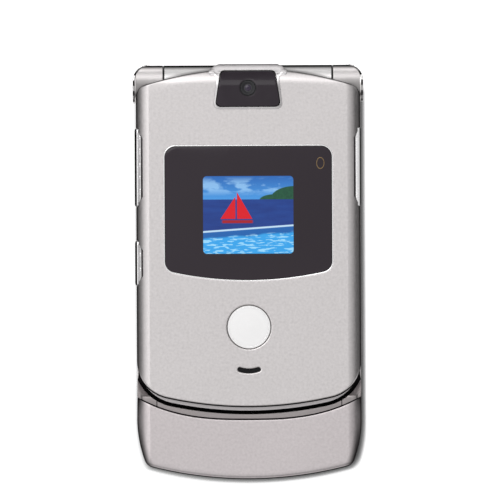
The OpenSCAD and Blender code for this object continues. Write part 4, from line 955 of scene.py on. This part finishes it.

# ---------------------------------------------------------------------------
# Flip's inner shell. The housing's lip is painted silver, the bezel round the inner
# screen is satin paint, and small grey rubber bumpers stand at its free corners.

# A band of painted shade darkens the lip towards the flip's sides.
painted = finish("satin_silver_paint", (0.46, 0.437, 0.443), 0.85, 0.38, 2200, 0.012, 0.25, 0.008, 0.012,
                 painted_shade_bands=[("X", HALF_W, HALF_W - 2, 0.03, 11.3)], edge=0.15)
shell = eased("flip_shell", "flip_housing", painted, "flip", 0.1)
carve(shell, [prism("slot", side_key_room(*size, side), KEY_Z - 0.12, 20) for size, side in SIDE_KEYS.values()], 25)
bezel_paint = finish("bezel_paint", (0.50, 0.50, 0.52), 0.35, 0.45, 2000, 0.015, 0.25, 0.008, 0.012)
eased("screen_bezel", "inner_bezel", bezel_paint, "flip", 0.15)
rubber = finish("grey_rubber", (0.055, 0.055, 0.06), 0.0, 0.75, 1200, 0.01, 0.4, 0.02, 0.01)
eased("bumpers", "flip_bumpers", rubber, "flip", 0.15)

# ---------------------------------------------------------------------------
# Inner screen. A polished window over the main display, which shows a plain home
# page: a soft blue ground with rolling bands, a status row and a row of symbols.

SCREEN_L, SCREEN_Y1 = 52.0, 28.8
mid_y = SCREEN_Y1 - SCREEN_L / 2


def home_page(brush, where):
    """A home page, whose top lies at the flip's free end."""
    mid, white = mid_y, (0.85, 0.9, 0.95)
    brush.y = brush.less(2 * mid, brush.y)
    down = brush.sum("DIVIDE", brush.less(mid + 24, brush.y), 48.0, True)
    page = brush.over((0.11, 0.36, 0.72), (0.015, 0.07, 0.30), down)
    bands = (6.0, (0.05, 0.30, 0.55)), (1.5, (0.03, 0.20, 0.44)), (-3.5, (0.02, 0.13, 0.34))
    for k, (rise, tone) in enumerate(bands):
        wave = brush.times(brush.sum("SINE", brush.plus(brush.times(brush.x, 0.16), 1.3 * k)), 2.2)
        page = brush.over(page, tone, brush.under(brush.y, brush.plus(wave, rise + mid - 6), 0.15))
    page = brush.over(page, (0.008, 0.02, 0.06), brush.under(-(mid + 20.4), brush.times(brush.y, -1), 0.1))
    for k in range(4):
        bar = brush.times(brush.between(brush.x, -17.2 + 0.9 * k, -16.7 + 0.9 * k, 0.06),
                          brush.between(brush.y, mid + 21.1, mid + 21.7 + 0.55 * k, 0.06))
        page = brush.over(page, white, bar)
    page = brush.layers(page, (white, brush.rounded(13.6, 17.2, mid + 21.2, mid + 23.0, 0.3, 0.06)),
                        ((0.05, 0.45, 0.12), brush.rounded(13.9, 16.3, mid + 21.5, mid + 22.7, 0.1, 0.06)),
                        ((0.01, 0.03, 0.09), brush.under(brush.y, mid - 19.6, 0.1)))
    for cx, tone in ((-12.0, (0.75, 0.35, 0.05)), (0.0, (0.10, 0.50, 0.15)), (12.0, (0.55, 0.08, 0.10))):
        tile = brush.rounded(cx - 3.2, cx + 3.2, mid - 16.2, mid - 9.8, 1.2, 0.1)
        page = brush.layers(page, ((0.80, 0.84, 0.90), tile), (tone, brush.disc(cx, mid - 13.0, 2.1, 2.1, 0.1)))
    for cx in (-14.5, 0.0, 14.5):
        label = brush.rounded(cx - 2.4, cx + 2.4, mid - 22.3, mid - 21.5, 0.3, 0.08)
        page = brush.over(page, (0.70, 0.78, 0.88), label)
    return page


inner_glass = glass_with_picture("inner_window_glass", (0.018, 0.018, 0.022), home_page,
                                 (-17.9, 17.9, mid_y - 23.1, mid_y + 23.1), 0.4, 0.55)
eased("inner_glass", "inner_window", inner_glass, "flip", 0.1)
ear_cloth = woven("earpiece_mesh", (0.03, 0.03, 0.032), 0.3)
dress(ear_cloth, "earpiece")

# ---------------------------------------------------------------------------
# Hinge. A turned barrel across the flip's middle, two knuckles on the base, and the
# spring cartridge and pins inside them.

# Bands of painted shade darken the barrel's top, its ends at the seams, and the strip below the face cover's arched
# edge.
barrel_metal = finish("turned_barrel", (0.97, 0.95, 0.945), 1.0, 0.42, (1600, 30, 30), 0.012, 0.08, 0.004, 0.012,
                      painted_shade_bands=[("Y", 48.6, 47.0, 0.0, 8.0), ("X", BARREL_X, BARREL_X - 0.25, 0.0, 8.0),
                            ((0, ARCH_Y), ARCH_R, ARCH_R + 0.7, 0.4, 8.0)], edge=0.1)
barrel = eased("barrel", "hinge_barrel", barrel_metal, "flip", 0.12)
carve(barrel, [rod("end", HINGE_R + 1, side * BARREL_X, side * 21) for side in (-1, 1)])
steel = finish("brushed_steel", (0.70, 0.70, 0.69), 1.0, 0.30, (2400, 60, 60), 0.03, 0.3, 0.006, 0.015)
dress(steel, "hinge_cartridge", "shield_can", "vibration_motor", "sim_holder", "charging_socket")

# Knuckle caps. Bright plated discs pressed on the knuckles' outer ends, with a coin
# edge: fine ridges stand round the rim, one copied round the hinge line.

chrome = finish("bright_plating", (0.50, 0.49, 0.49), 1.0, 0.12, 300, 0.006, 0.03, 0.003, 0.01)
cap_dark = finish("painted_shade_black", (0.02, 0.019, 0.02), 1.0, 0.35, 900, 0.01, 0.1, 0.004, 0.004)
CAP_X1 = 27.2
# The knuckles' outer corners in plan: centre and radius.
CAP_CORNER = (23.6, 45.1, 3.6)
# Section of the band: radius, and how far back from the knuckle's end.
CAP_BAND = ((4.2, 0.62), (4.36, 0.55), (4.43, 0.48), (4.43, 0.08), (4.36, 0.02), (4.1, 0.0))


def blocks_along():
    """Node tree: blocks set along a line and turned with it."""
    tree = bpy.data.node_groups.new("blocks_along", "GeometryNodeTree")
    for name, kind in (("Line", "NodeSocketGeometry"), ("Count", "NodeSocketInt"), ("Block", "NodeSocketVector"),
                       ("Material", "NodeSocketMaterial")):
        tree.interface.new_socket(name, in_out="INPUT", socket_type=kind)
    tree.interface.new_socket("Geometry", in_out="OUTPUT", socket_type="NodeSocketGeometry")
    given = tree.nodes.new("NodeGroupInput").outputs
    line = linked(tree, "GeometryNodeMeshToCurve", {}, Mesh=given["Line"])
    points = linked(tree, "GeometryNodeCurveToPoints", {"mode": "COUNT"}, Curve=line.outputs[0], Count=given["Count"])
    block = linked(tree, "GeometryNodeMeshCube", {}, Size=given["Block"])
    many = linked(tree, "GeometryNodeInstanceOnPoints", {}, Points=points.outputs[0], Instance=block.outputs[0],
                  Rotation=points.outputs["Rotation"])
    real = linked(tree, "GeometryNodeRealizeInstances", {}, Geometry=many.outputs[0])
    dressed = linked(tree, "GeometryNodeSetMaterial", {}, Geometry=real.outputs[0], Material=given["Material"])
    linked(tree, "NodeGroupOutput", {}, Geometry=dressed.outputs[0])
    return tree


def grown(name, tree, line, material, **inputs):
    """A plain mesh grown by a node tree along a closed line of points, its named inputs set."""
    mesh = bpy.data.meshes.new(name)
    n = len(line)
    mesh.from_pydata([tuple(p) for p in np.asarray(line) * MM], [(k, (k + 1) % n) for k in range(n)], [])
    made = bpy.data.objects.new(name, mesh)
    scene.collection.objects.link(made)
    step = made.modifiers.new("grow", "NODES")
    step.node_group = tree
    for item in tree.interface.items_tree:
        if item.in_out == "INPUT" and item.name != "Line":
            step[item.identifier] = material if item.name == "Material" else inputs[item.name]
    settle(made, 25)
    return made


def knuckle_line(side, r, back, start=0):
    """The edge of a knuckle's end, on a bar of radius r and set back from its round corner."""
    t = np.radians(np.arange(0, 360, 3.0) + start)
    y = HINGE_Y + r * np.sin(t)
    corner_x, corner_y, corner_r = CAP_CORNER
    over = np.clip(y - corner_y, 0, corner_r)
    end = corner_x + np.sqrt(corner_r * corner_r - over * over)
    return np.column_stack([side * (end - back), y, HINGE_Z + r * np.cos(t)])


block_tree = blocks_along()
for side, label in ((-1, "left"), (1, "right")):
    lines = [knuckle_line(side, r, back) for r, back in CAP_BAND]
    n, m = len(lines[0]), len(lines)
    skin = [(r * n + k, r * n + (k + 1) % n, (r + 1) % m * n + (k + 1) % n, (r + 1) % m * n + k)
            for r in range(m) for k in range(n)]
    # The band under the ridges is near black: painted shade for the grooves between them.
    band = put(label + "_cap_band", np.vstack(lines), skin, cap_dark)
    beads = grown(label + "_cap_beads", block_tree, knuckle_line(side, 4.36, 0.27, start=-13), chrome, Count=12,
                  Block=(0.32 * MM, 0.34 * MM, 1.25 * MM))
    for v in beads.data.vertices:
        v.co.x = max(min(v.co.x, CAP_X1 * MM), -CAP_X1 * MM)
    for piece in (band, beads):
        placed(piece, "base")
    # A near-black ring fills the seam between barrel and knuckle: painted shade for the gap.
    seam_shade_ring = rod(label + "_washer", 4.34, side * (BARREL_X + 0.01), side * (KNUCKLE_X - 0.015))
    seam_shade_ring.data.materials[0] = cap_dark
    placed(seam_shade_ring, "base")
end_metal = finish("brushed_knuckle_end", (0.68, 0.66, 0.655), 1.0, 0.30, (60, 60, 1800), 0.02, 0.2, 0.005, 0.012)
eased("knuckle_ends", "knuckle_caps", end_metal, "base", 0.08)

# ---------------------------------------------------------------------------
# Front housing. A painted metal frame that carries the keys, with a ledge beyond the
# flip's free end and a knuckle at each hinge corner. The walls of the deep gap under the
# flip's lip, and the ledge's two seam grooves, are painted black as painted shade.

# Bands of painted shade darken the top of the housing's hinge end; the knuckles' tops, their lower parts where the
# face cover overhangs them, and their inner ends at the seams; and the ledge towards the sides.
housing_paint = finish("satin_base_paint", (0.65, 0.62, 0.612), 0.95, 0.42, 2200, 0.014, 0.2, 0.008, 0.012,
                       painted_shade_bands=[("Y", 48.5, 48.0, 0.0, 8.0)])
knuckle_paint = finish("satin_knuckle_paint", (0.97, 0.93, 0.925), 0.95, 0.40, 2200, 0.014, 0.2, 0.008, 0.012,
                       painted_shade_bands=[("Y", 48.65, 47.3, 0.0, 8.0), ("Y", 45.0, 46.8, 0.3, 8.0),
                             ("X", KNUCKLE_X - 0.02, KNUCKLE_X + 0.1, 0.0, 8.0)], edge=0.1)
ledge_paint = finish("satin_ledge_paint", (0.325, 0.297, 0.297), 0.9, 0.36, 2200, 0.012, 0.2, 0.008, 0.01,
                     painted_shade_bands=[("X", HALF_W, HALF_W - 2.3, 0.12, 12.3)], edge=0.15)
painted_seam_shade = finish("painted_seam_shade", (0.006, 0.005, 0.006), 0.0, 0.8, 1500, 0.003, 0.3, 0.01, 0.002, shine=0.1)
LIP_CORNER, GAP_W = 10.2, 0.88
gap_wall = inset(finer(flip_outline(LIP_Y, LIP_CORNER), 0.5), -GAP_W)


def repaint(piece, material, choose):
    """Gives another material to the faces that choose picks by their middle, in millimetres, and normal."""
    piece.data.materials.append(material)
    for face in piece.data.polygons:
        if choose(face.center / MM, face.normal):
            face.material_index = len(piece.data.materials) - 1


def on_gap_wall(c, n):
    """Whether a face stands upright on the wall of the gap, below the ledge's top."""
    return c.z < 12.42 and abs(n.z) < 0.3 and far_from(np.array([[c.x, c.y]]), gap_wall)[0] < 0.4


front = eased("front_frame", "front_housing", housing_paint, "base", 0.16)
carve(front, [prism("seam", rectangle(x, x + 0.2, -33.5, -30.0), 12.35, 13) for x in (21.7, -21.9)], 25)
repaint(front, knuckle_paint, lambda c, n: c.y > 39.5 and abs(c.x) > 19.9 and c.z > 5.1)
repaint(front, ledge_paint, lambda c, n: c.y < -23 and c.z > 7.3)
# The gap's walls and the ledge's seam grooves are painted black: painted shade.
repaint(front, painted_seam_shade, lambda c, n: c.y < -23 and c.z > 7.3 and on_gap_wall(c, n))
repaint(front, painted_seam_shade, lambda c, n: c.y < -29.5 and 12.3 < c.z < 12.58 and 21.65 < abs(c.x) < 21.95)

# Black lines of painted shade in the seams: a strip at the bottom of the gap, one at
# the foot of the face cover's free end, and one between ledge and chin.


def ribbon(name, outer, inner, z, thick, body):
    """A thin black band of painted shade between two lines, each run from left to right, on a flat surface."""
    loop = np.vstack([outer, inner[::-1]])
    made = slab(name, [loop], level(z + thick), z, painted_seam_shade, edge=0.01)
    placed(made, body)


def free_end(loop, wide=HALF_W - 0.06):
    """The part of an outline round the flip's free end, run from left to right."""
    kept = loop[(loop[:, 1] < 0) & (np.abs(loop[:, 0]) < wide)]
    return kept[np.argsort(kept[:, 0])]


tip_line = finer(flip_outline(TIP_Y, TIP_CORNER), 0.5)
ribbon("gap_strip", free_end(inset(gap_wall, 0.03)), free_end(inset(gap_wall, 1.6), 25.7), 7.2, 0.1, "base")
ribbon("cover_line", free_end(inset(tip_line, -0.24), 26.2), free_end(inset(tip_line, 0.24), 26.0), 11.6, 0.03,
       "flip")

# ---------------------------------------------------------------------------
# Chin cover. The same satin aluminium as the flip, over the aerial at the base's end.
# Its sides roll over in line with the flip's, its end tapers in and is turned down.

# The chin's upper edge, then the base's bowed end, its tapers, corners and roll.
CHIN_Y, CHIN_SAG, CHIN_POWER = -35.0, 5.3, 2.8
END_R, END_Y = 92.6, 43.6
TAPER_R, TAPER_Y, END_CORNER, END_ROLL = 29.0, -34.5, 2.6, 1.3


def base_end(grow=0.0):
    """Right half of the base's end: taper, corner and bowed end, run downwards."""
    side, end = (HALF_W - TAPER_R, TAPER_Y), (0.0, END_Y)
    a, b, d = TAPER_R - END_CORNER, END_R - END_CORNER, math.dist(side, end)
    along = (a * a - b * b + d * d) / (2 * d)
    unit = np.array([end[0] - side[0], end[1] - side[1]]) / d
    corner = np.array(side) + unit * along + np.array([-unit[1], unit[0]]) * -math.sqrt(a * a - along * along)
    t0, t1 = bearing(side, corner), bearing(end, corner)
    return np.vstack([arc(*side, TAPER_R + grow, 0, t0, 24), arc(*corner, END_CORNER + grow, t0, t1, 12)[1:],
                      arc(*end, END_R + grow, t1, -90, 40)[1:]])


def chin_line(x):
    """Where the chin's upper edge lies at x: it bows towards the end in the middle."""
    return CHIN_Y + CHIN_SAG * (np.abs(x) / HALF_W) ** CHIN_POWER


x_half = np.linspace(0, HALF_W - 0.1, 45)
chin_loop = closed(np.column_stack([x_half, chin_line(x_half)]), base_end(-0.02)[1:])


def chin_top(p):
    """Height of the chin: rolled sides, and an end that is turned down."""
    side = side_drop(HALF_W - np.abs(p[:, 0]))
    over = np.clip(END_ROLL - (END_R - np.hypot(p[:, 0], p[:, 1] - END_Y)), 0, END_ROLL)
    end = END_ROLL - np.sqrt(END_ROLL ** 2 - over ** 2)
    return FACE_Z - (side ** 3 + end ** 3) ** (1 / 3)


chin_loop = finer(chin_loop, 0.8)
chin_points = [np.array([(s * (HALF_W - d), y) for s in (-1, 1) for y in np.arange(-48, -28, 0.6)
                         for d in (0.2, 0.5, 0.9, 1.3, 1.75, 2.2, 2.6, 2.9, 3.1, 3.2, 3.35)])]
chin_points += [inset(chin_loop, d) for d in (0.25, 0.45, 0.7, 1.0, 1.3, 1.5)]
chin_points.append(np.array([(x, y) for y in np.arange(-47, -34, 2.2) for x in np.arange(-22.5, 22.6, 2.5)]))
# Bands of painted shade darken the chin's tapering sides and a thin line along its end.
chin_metal = finish("satin_chin_aluminium", (0.556, 0.523, 0.525), 1.0, 0.36, 1700, 0.095, 0.35,
                    0.01, 0.022, sheen_tone=(0.556, 0.506, 0.515),
                    painted_shade_bands=[((HALF_W - TAPER_R, TAPER_Y), TAPER_R, TAPER_R - 1.9, 0.04, 11.6),
                          ((0, END_Y), END_R - 0.15, END_R - 0.42, 0.0, 12.3)], edge=0.1)
chin = slab("chin_shell", [chin_loop], chin_top, 5.02, chin_metal, np.vstack(chin_points), edge=0.16)
room_loop = finer(closed([[0, CHIN_Y + 2], [HALF_W - SHEET_T, CHIN_Y + 8]], base_end(-SHEET_T)[1:]), 1.0)
chin_room = slab("chin_room", [room_loop], lambda p: chin_top(p) - SHEET_T, 4.0, plain,
                 np.vstack([inset(room_loop, d) for d in (0.5, 1.2, 2.4)]), edge=0.01)
strip_x = np.linspace(-28, 28, 57)
strip = np.column_stack([strip_x, chin_line(strip_x) - SHEET_T])
above = prism("above", np.vstack([strip, [[28, -20], [-28, -20]]]), 3, 15)
carve(chin_room, [above])
carve(chin, [chin_room])
placed(chin, "base", "chin_cover")

# A black line of painted shade between ledge and chin.
chin_edge_x = np.linspace(-25.6, 25.6, 81)
ribbon("chin_line_strip", np.column_stack([chin_edge_x, chin_line(chin_edge_x)]),
       np.column_stack([chin_edge_x, chin_line(chin_edge_x) + 0.32]), 12.6, 0.02, "base")

# ---------------------------------------------------------------------------
# Keypad. Thin brushed metal pads stand on a translucent blue mat that glows faintly
# between them. The digits and plain symbols are inlaid in a deep blue.

key_metal = finish("brushed_keys", (0.45, 0.45, 0.475), 1.0, 0.33, (60, 2600, 60), 0.025, 0.3, 0.005, 0.012)
mat_rubber = finish("translucent_mat", (0.09, 0.24, 0.46), 0.0, 0.45, 700, 0.02, 0.2, 0.01, 0.03)
for kind, value in (("Subsurface Weight", 0.25), ("Subsurface Scale", 0.5 * MM),
                    ("Emission Color", (0.05, 0.25, 0.75, 1)), ("Emission Strength", 0.35)):
    mat_rubber.node_tree.nodes["Principled BSDF"].inputs[kind].default_value = value
ink = finish("legend_ink", (0.015, 0.045, 0.16), 0.0, 0.4, 900, 0.02, 0.05, 0.002, 0.02)

eased("glow_mat", "keypad_mat", mat_rubber, "base", 0.0)
KEY_NAMES = [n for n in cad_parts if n.startswith("key_") or n in
             ("soft_key_left", "soft_key_right", "menu_key", "message_key", "browser_key", "nav_ring",
              "select_key", "send_key", "clear_key", "end_key")]
for key in KEY_NAMES:
    eased(key + "_pad", key, key_metal, key, 0.14)


def middle(node):
    """The middle of a CAD node's top, in millimetres."""
    low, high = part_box(node)
    return (low[0] + high[0]) / 2 / MM, (low[1] + high[1]) / 2 / MM, high[2] / MM


def lettering(text, size, x, y, z):
    """A flat inlay in the shape of a few characters."""
    curve = bpy.data.curves.new("lettering", "FONT")
    curve.body, curve.size = text, size * MM
    curve.align_x, curve.align_y = "CENTER", "CENTER"
    curve.extrude, curve.offset = 0.012 * MM, 0.012 * size * MM
    curve.resolution_u = 4
    holder = bpy.data.objects.new("lettering", curve)
    scene.collection.objects.link(holder)
    bpy.context.view_layer.update()
    mesh = bpy.data.meshes.new_from_object(holder.evaluated_get(bpy.context.evaluated_depsgraph_get()))
    bpy.data.objects.remove(holder)
    mesh.transform(Matrix.Translation((x * MM, y * MM, (z + 0.008) * MM)))
    return mesh


def inlay(key, meshes):
    """Joins inlays into one piece that moves with its key."""
    work = bmesh.new()
    for mesh in meshes:
        work.from_mesh(mesh)
    bmesh.ops.remove_doubles(work, verts=work.verts, dist=2e-7)
    bmesh.ops.recalc_face_normals(work, faces=work.faces)
    joined = bpy.data.meshes.new(key + "_legend")
    work.to_mesh(joined)
    work.free()
    joined.materials.clear()
    joined.materials.append(ink)
    made = bpy.data.objects.new(key + "_legend", joined)
    scene.collection.objects.link(made)
    placed(made, key)


def symbol(key, *loops):
    """A key's inlay made of outlines, each in millimetres from the key's middle."""
    x, y, z = middle(key)
    meshes = []
    for loop in loops:
        block = prism("shape", np.array([(x + u, y + v) for u, v in loop]), z - 0.02, z + 0.02)
        meshes.append(block.data)
        bpy.data.objects.remove(block)
    inlay(key, meshes)


LEGENDS = {**{"key_" + digit: digit for digit in "123456789"}, "key_star": "*", "key_0": "0", "key_hash": "#"}
LETTERS = dict(zip("23456789", ("abc", "def", "ghi", "jkl", "mno", "pqrs", "tuv", "wxyz")))
for key, text in LEGENDS.items():
    x, y, z = middle(key)
    lower = LETTERS.get(text)
    drop = 0.9 if text == "*" else 0.0
    meshes = [lettering(text, 4.6, x - (2.3 if lower else 0), y - drop, z)]
    if lower:
        meshes.append(lettering(lower, 2.3, x + 2.2, y + 0.1, z))
    inlay(key, meshes)


def turned_by(lean, loop):
    """A loop turned by some degrees round the middle."""
    c, n = math.cos(math.radians(lean)), math.sin(math.radians(lean))
    return [(c * u - n * v, n * u + c * v) for u, v in loop]


handset = [(0.85 * u, 0.85 * v)
           for u, v in ((2.2, -0.5), (2.2, 0.3), (1.6, 0.9), (-1.6, 0.9), (-2.2, 0.3), (-2.2, -0.5), (-1.1, -0.5),
                        (-1.0, 0.1), (1.0, 0.1), (1.1, -0.5))]
symbol("send_key", turned_by(50, handset))
symbol("end_key", [(u, v - 0.3) for u, v in handset])
symbol("clear_key", [(-1.0, -1.2), (-1.0, -0.35), (2.2, -0.35), (2.2, 0.35), (-1.0, 0.35), (-1.0, 1.2), (-2.4, 0)])
symbol("menu_key", *[rectangle(-1.6, 1.6, d, d + 0.35) for d in (-1.1, -0.2, 0.7)])
for key in ("soft_key_left", "soft_key_right"):
    symbol(key, rectangle(-2.4, 2.4, -0.2, 0.2))
symbol("message_key", [(-3.4, -1.1), (-0.4, -1.1), (-0.4, 0.2), (-1.9, -0.6), (-3.4, 0.2)],
       [(-3.4, 1.1), (-3.4, 0.6), (-1.9, -0.2), (-0.4, 0.6), (-0.4, 1.1)])
symbol("browser_key", *[np.vstack([arc(1.9, 0, 1.5, a, a + 70, 8), arc(1.9, 0, 1.1, a + 70, a, 8)])
                        for a in (10, 100, 190, 280)], rectangle(1.2, 2.6, -0.15, 0.15))
symbol("nav_ring", *[turned_by(90 * k, [(6.2, -0.8), (6.2, 0.8), (7.2, 0.0)][::-1])[::-1] for k in range(4)])
symbol("select_key", arc(0, 0, 0.9, 0, 337.5, 15))

# ---------------------------------------------------------------------------
# Back. Rear housing in satin paint, a lift-off door of anodised aluminium with a slide
# latch, and a soft dark cover over the aerial with the loudspeaker's slots.

back_paint = finish("satin_back_paint", (0.40, 0.40, 0.42), 0.7, 0.42, 2000, 0.014, 0.3, 0.01, 0.014)
eased("back_frame", "rear_housing", back_paint, "base", 0.14)
door_metal = finish("anodised_door", (0.52, 0.51, 0.52), 1.0, 0.38, 2600, 0.014, 0.35, 0.01, 0.014)
eased("door", "battery_door", door_metal, "battery_door", 0.14)
eased("latch", "door_latch", back_paint, "door_latch", 0.12)
soft_touch = finish("soft_touch", (0.055, 0.055, 0.062), 0.0, 0.62, 2600, 0.01, 0.45, 0.015, 0.008)
eased("aerial_shell", "aerial_cover", soft_touch, "base", 0.12)

# Power and the rest inside. The battery has a moulded case with a paler wrap, the
# contacts are gilt, and the dome sheet is a pale film over the board.

case = finish("battery_case", (0.035, 0.037, 0.042), 0.0, 0.5, 1400, 0.008, 0.3, 0.01, 0.006)
eased("battery_pack", "battery", case, "base", 0.2)
gilt = finish("gilt_contact", (0.80, 0.58, 0.22), 1.0, 0.22, 900, 0.02, 0.1, 0.003, 0.02)
dress(gilt, "battery_contacts")
film = finish("dome_film", (0.62, 0.62, 0.56), 0.0, 0.35, 600, 0.02, 0.1, 0.005, 0.02, coat=0.3)
dress(film, "dome_sheet")
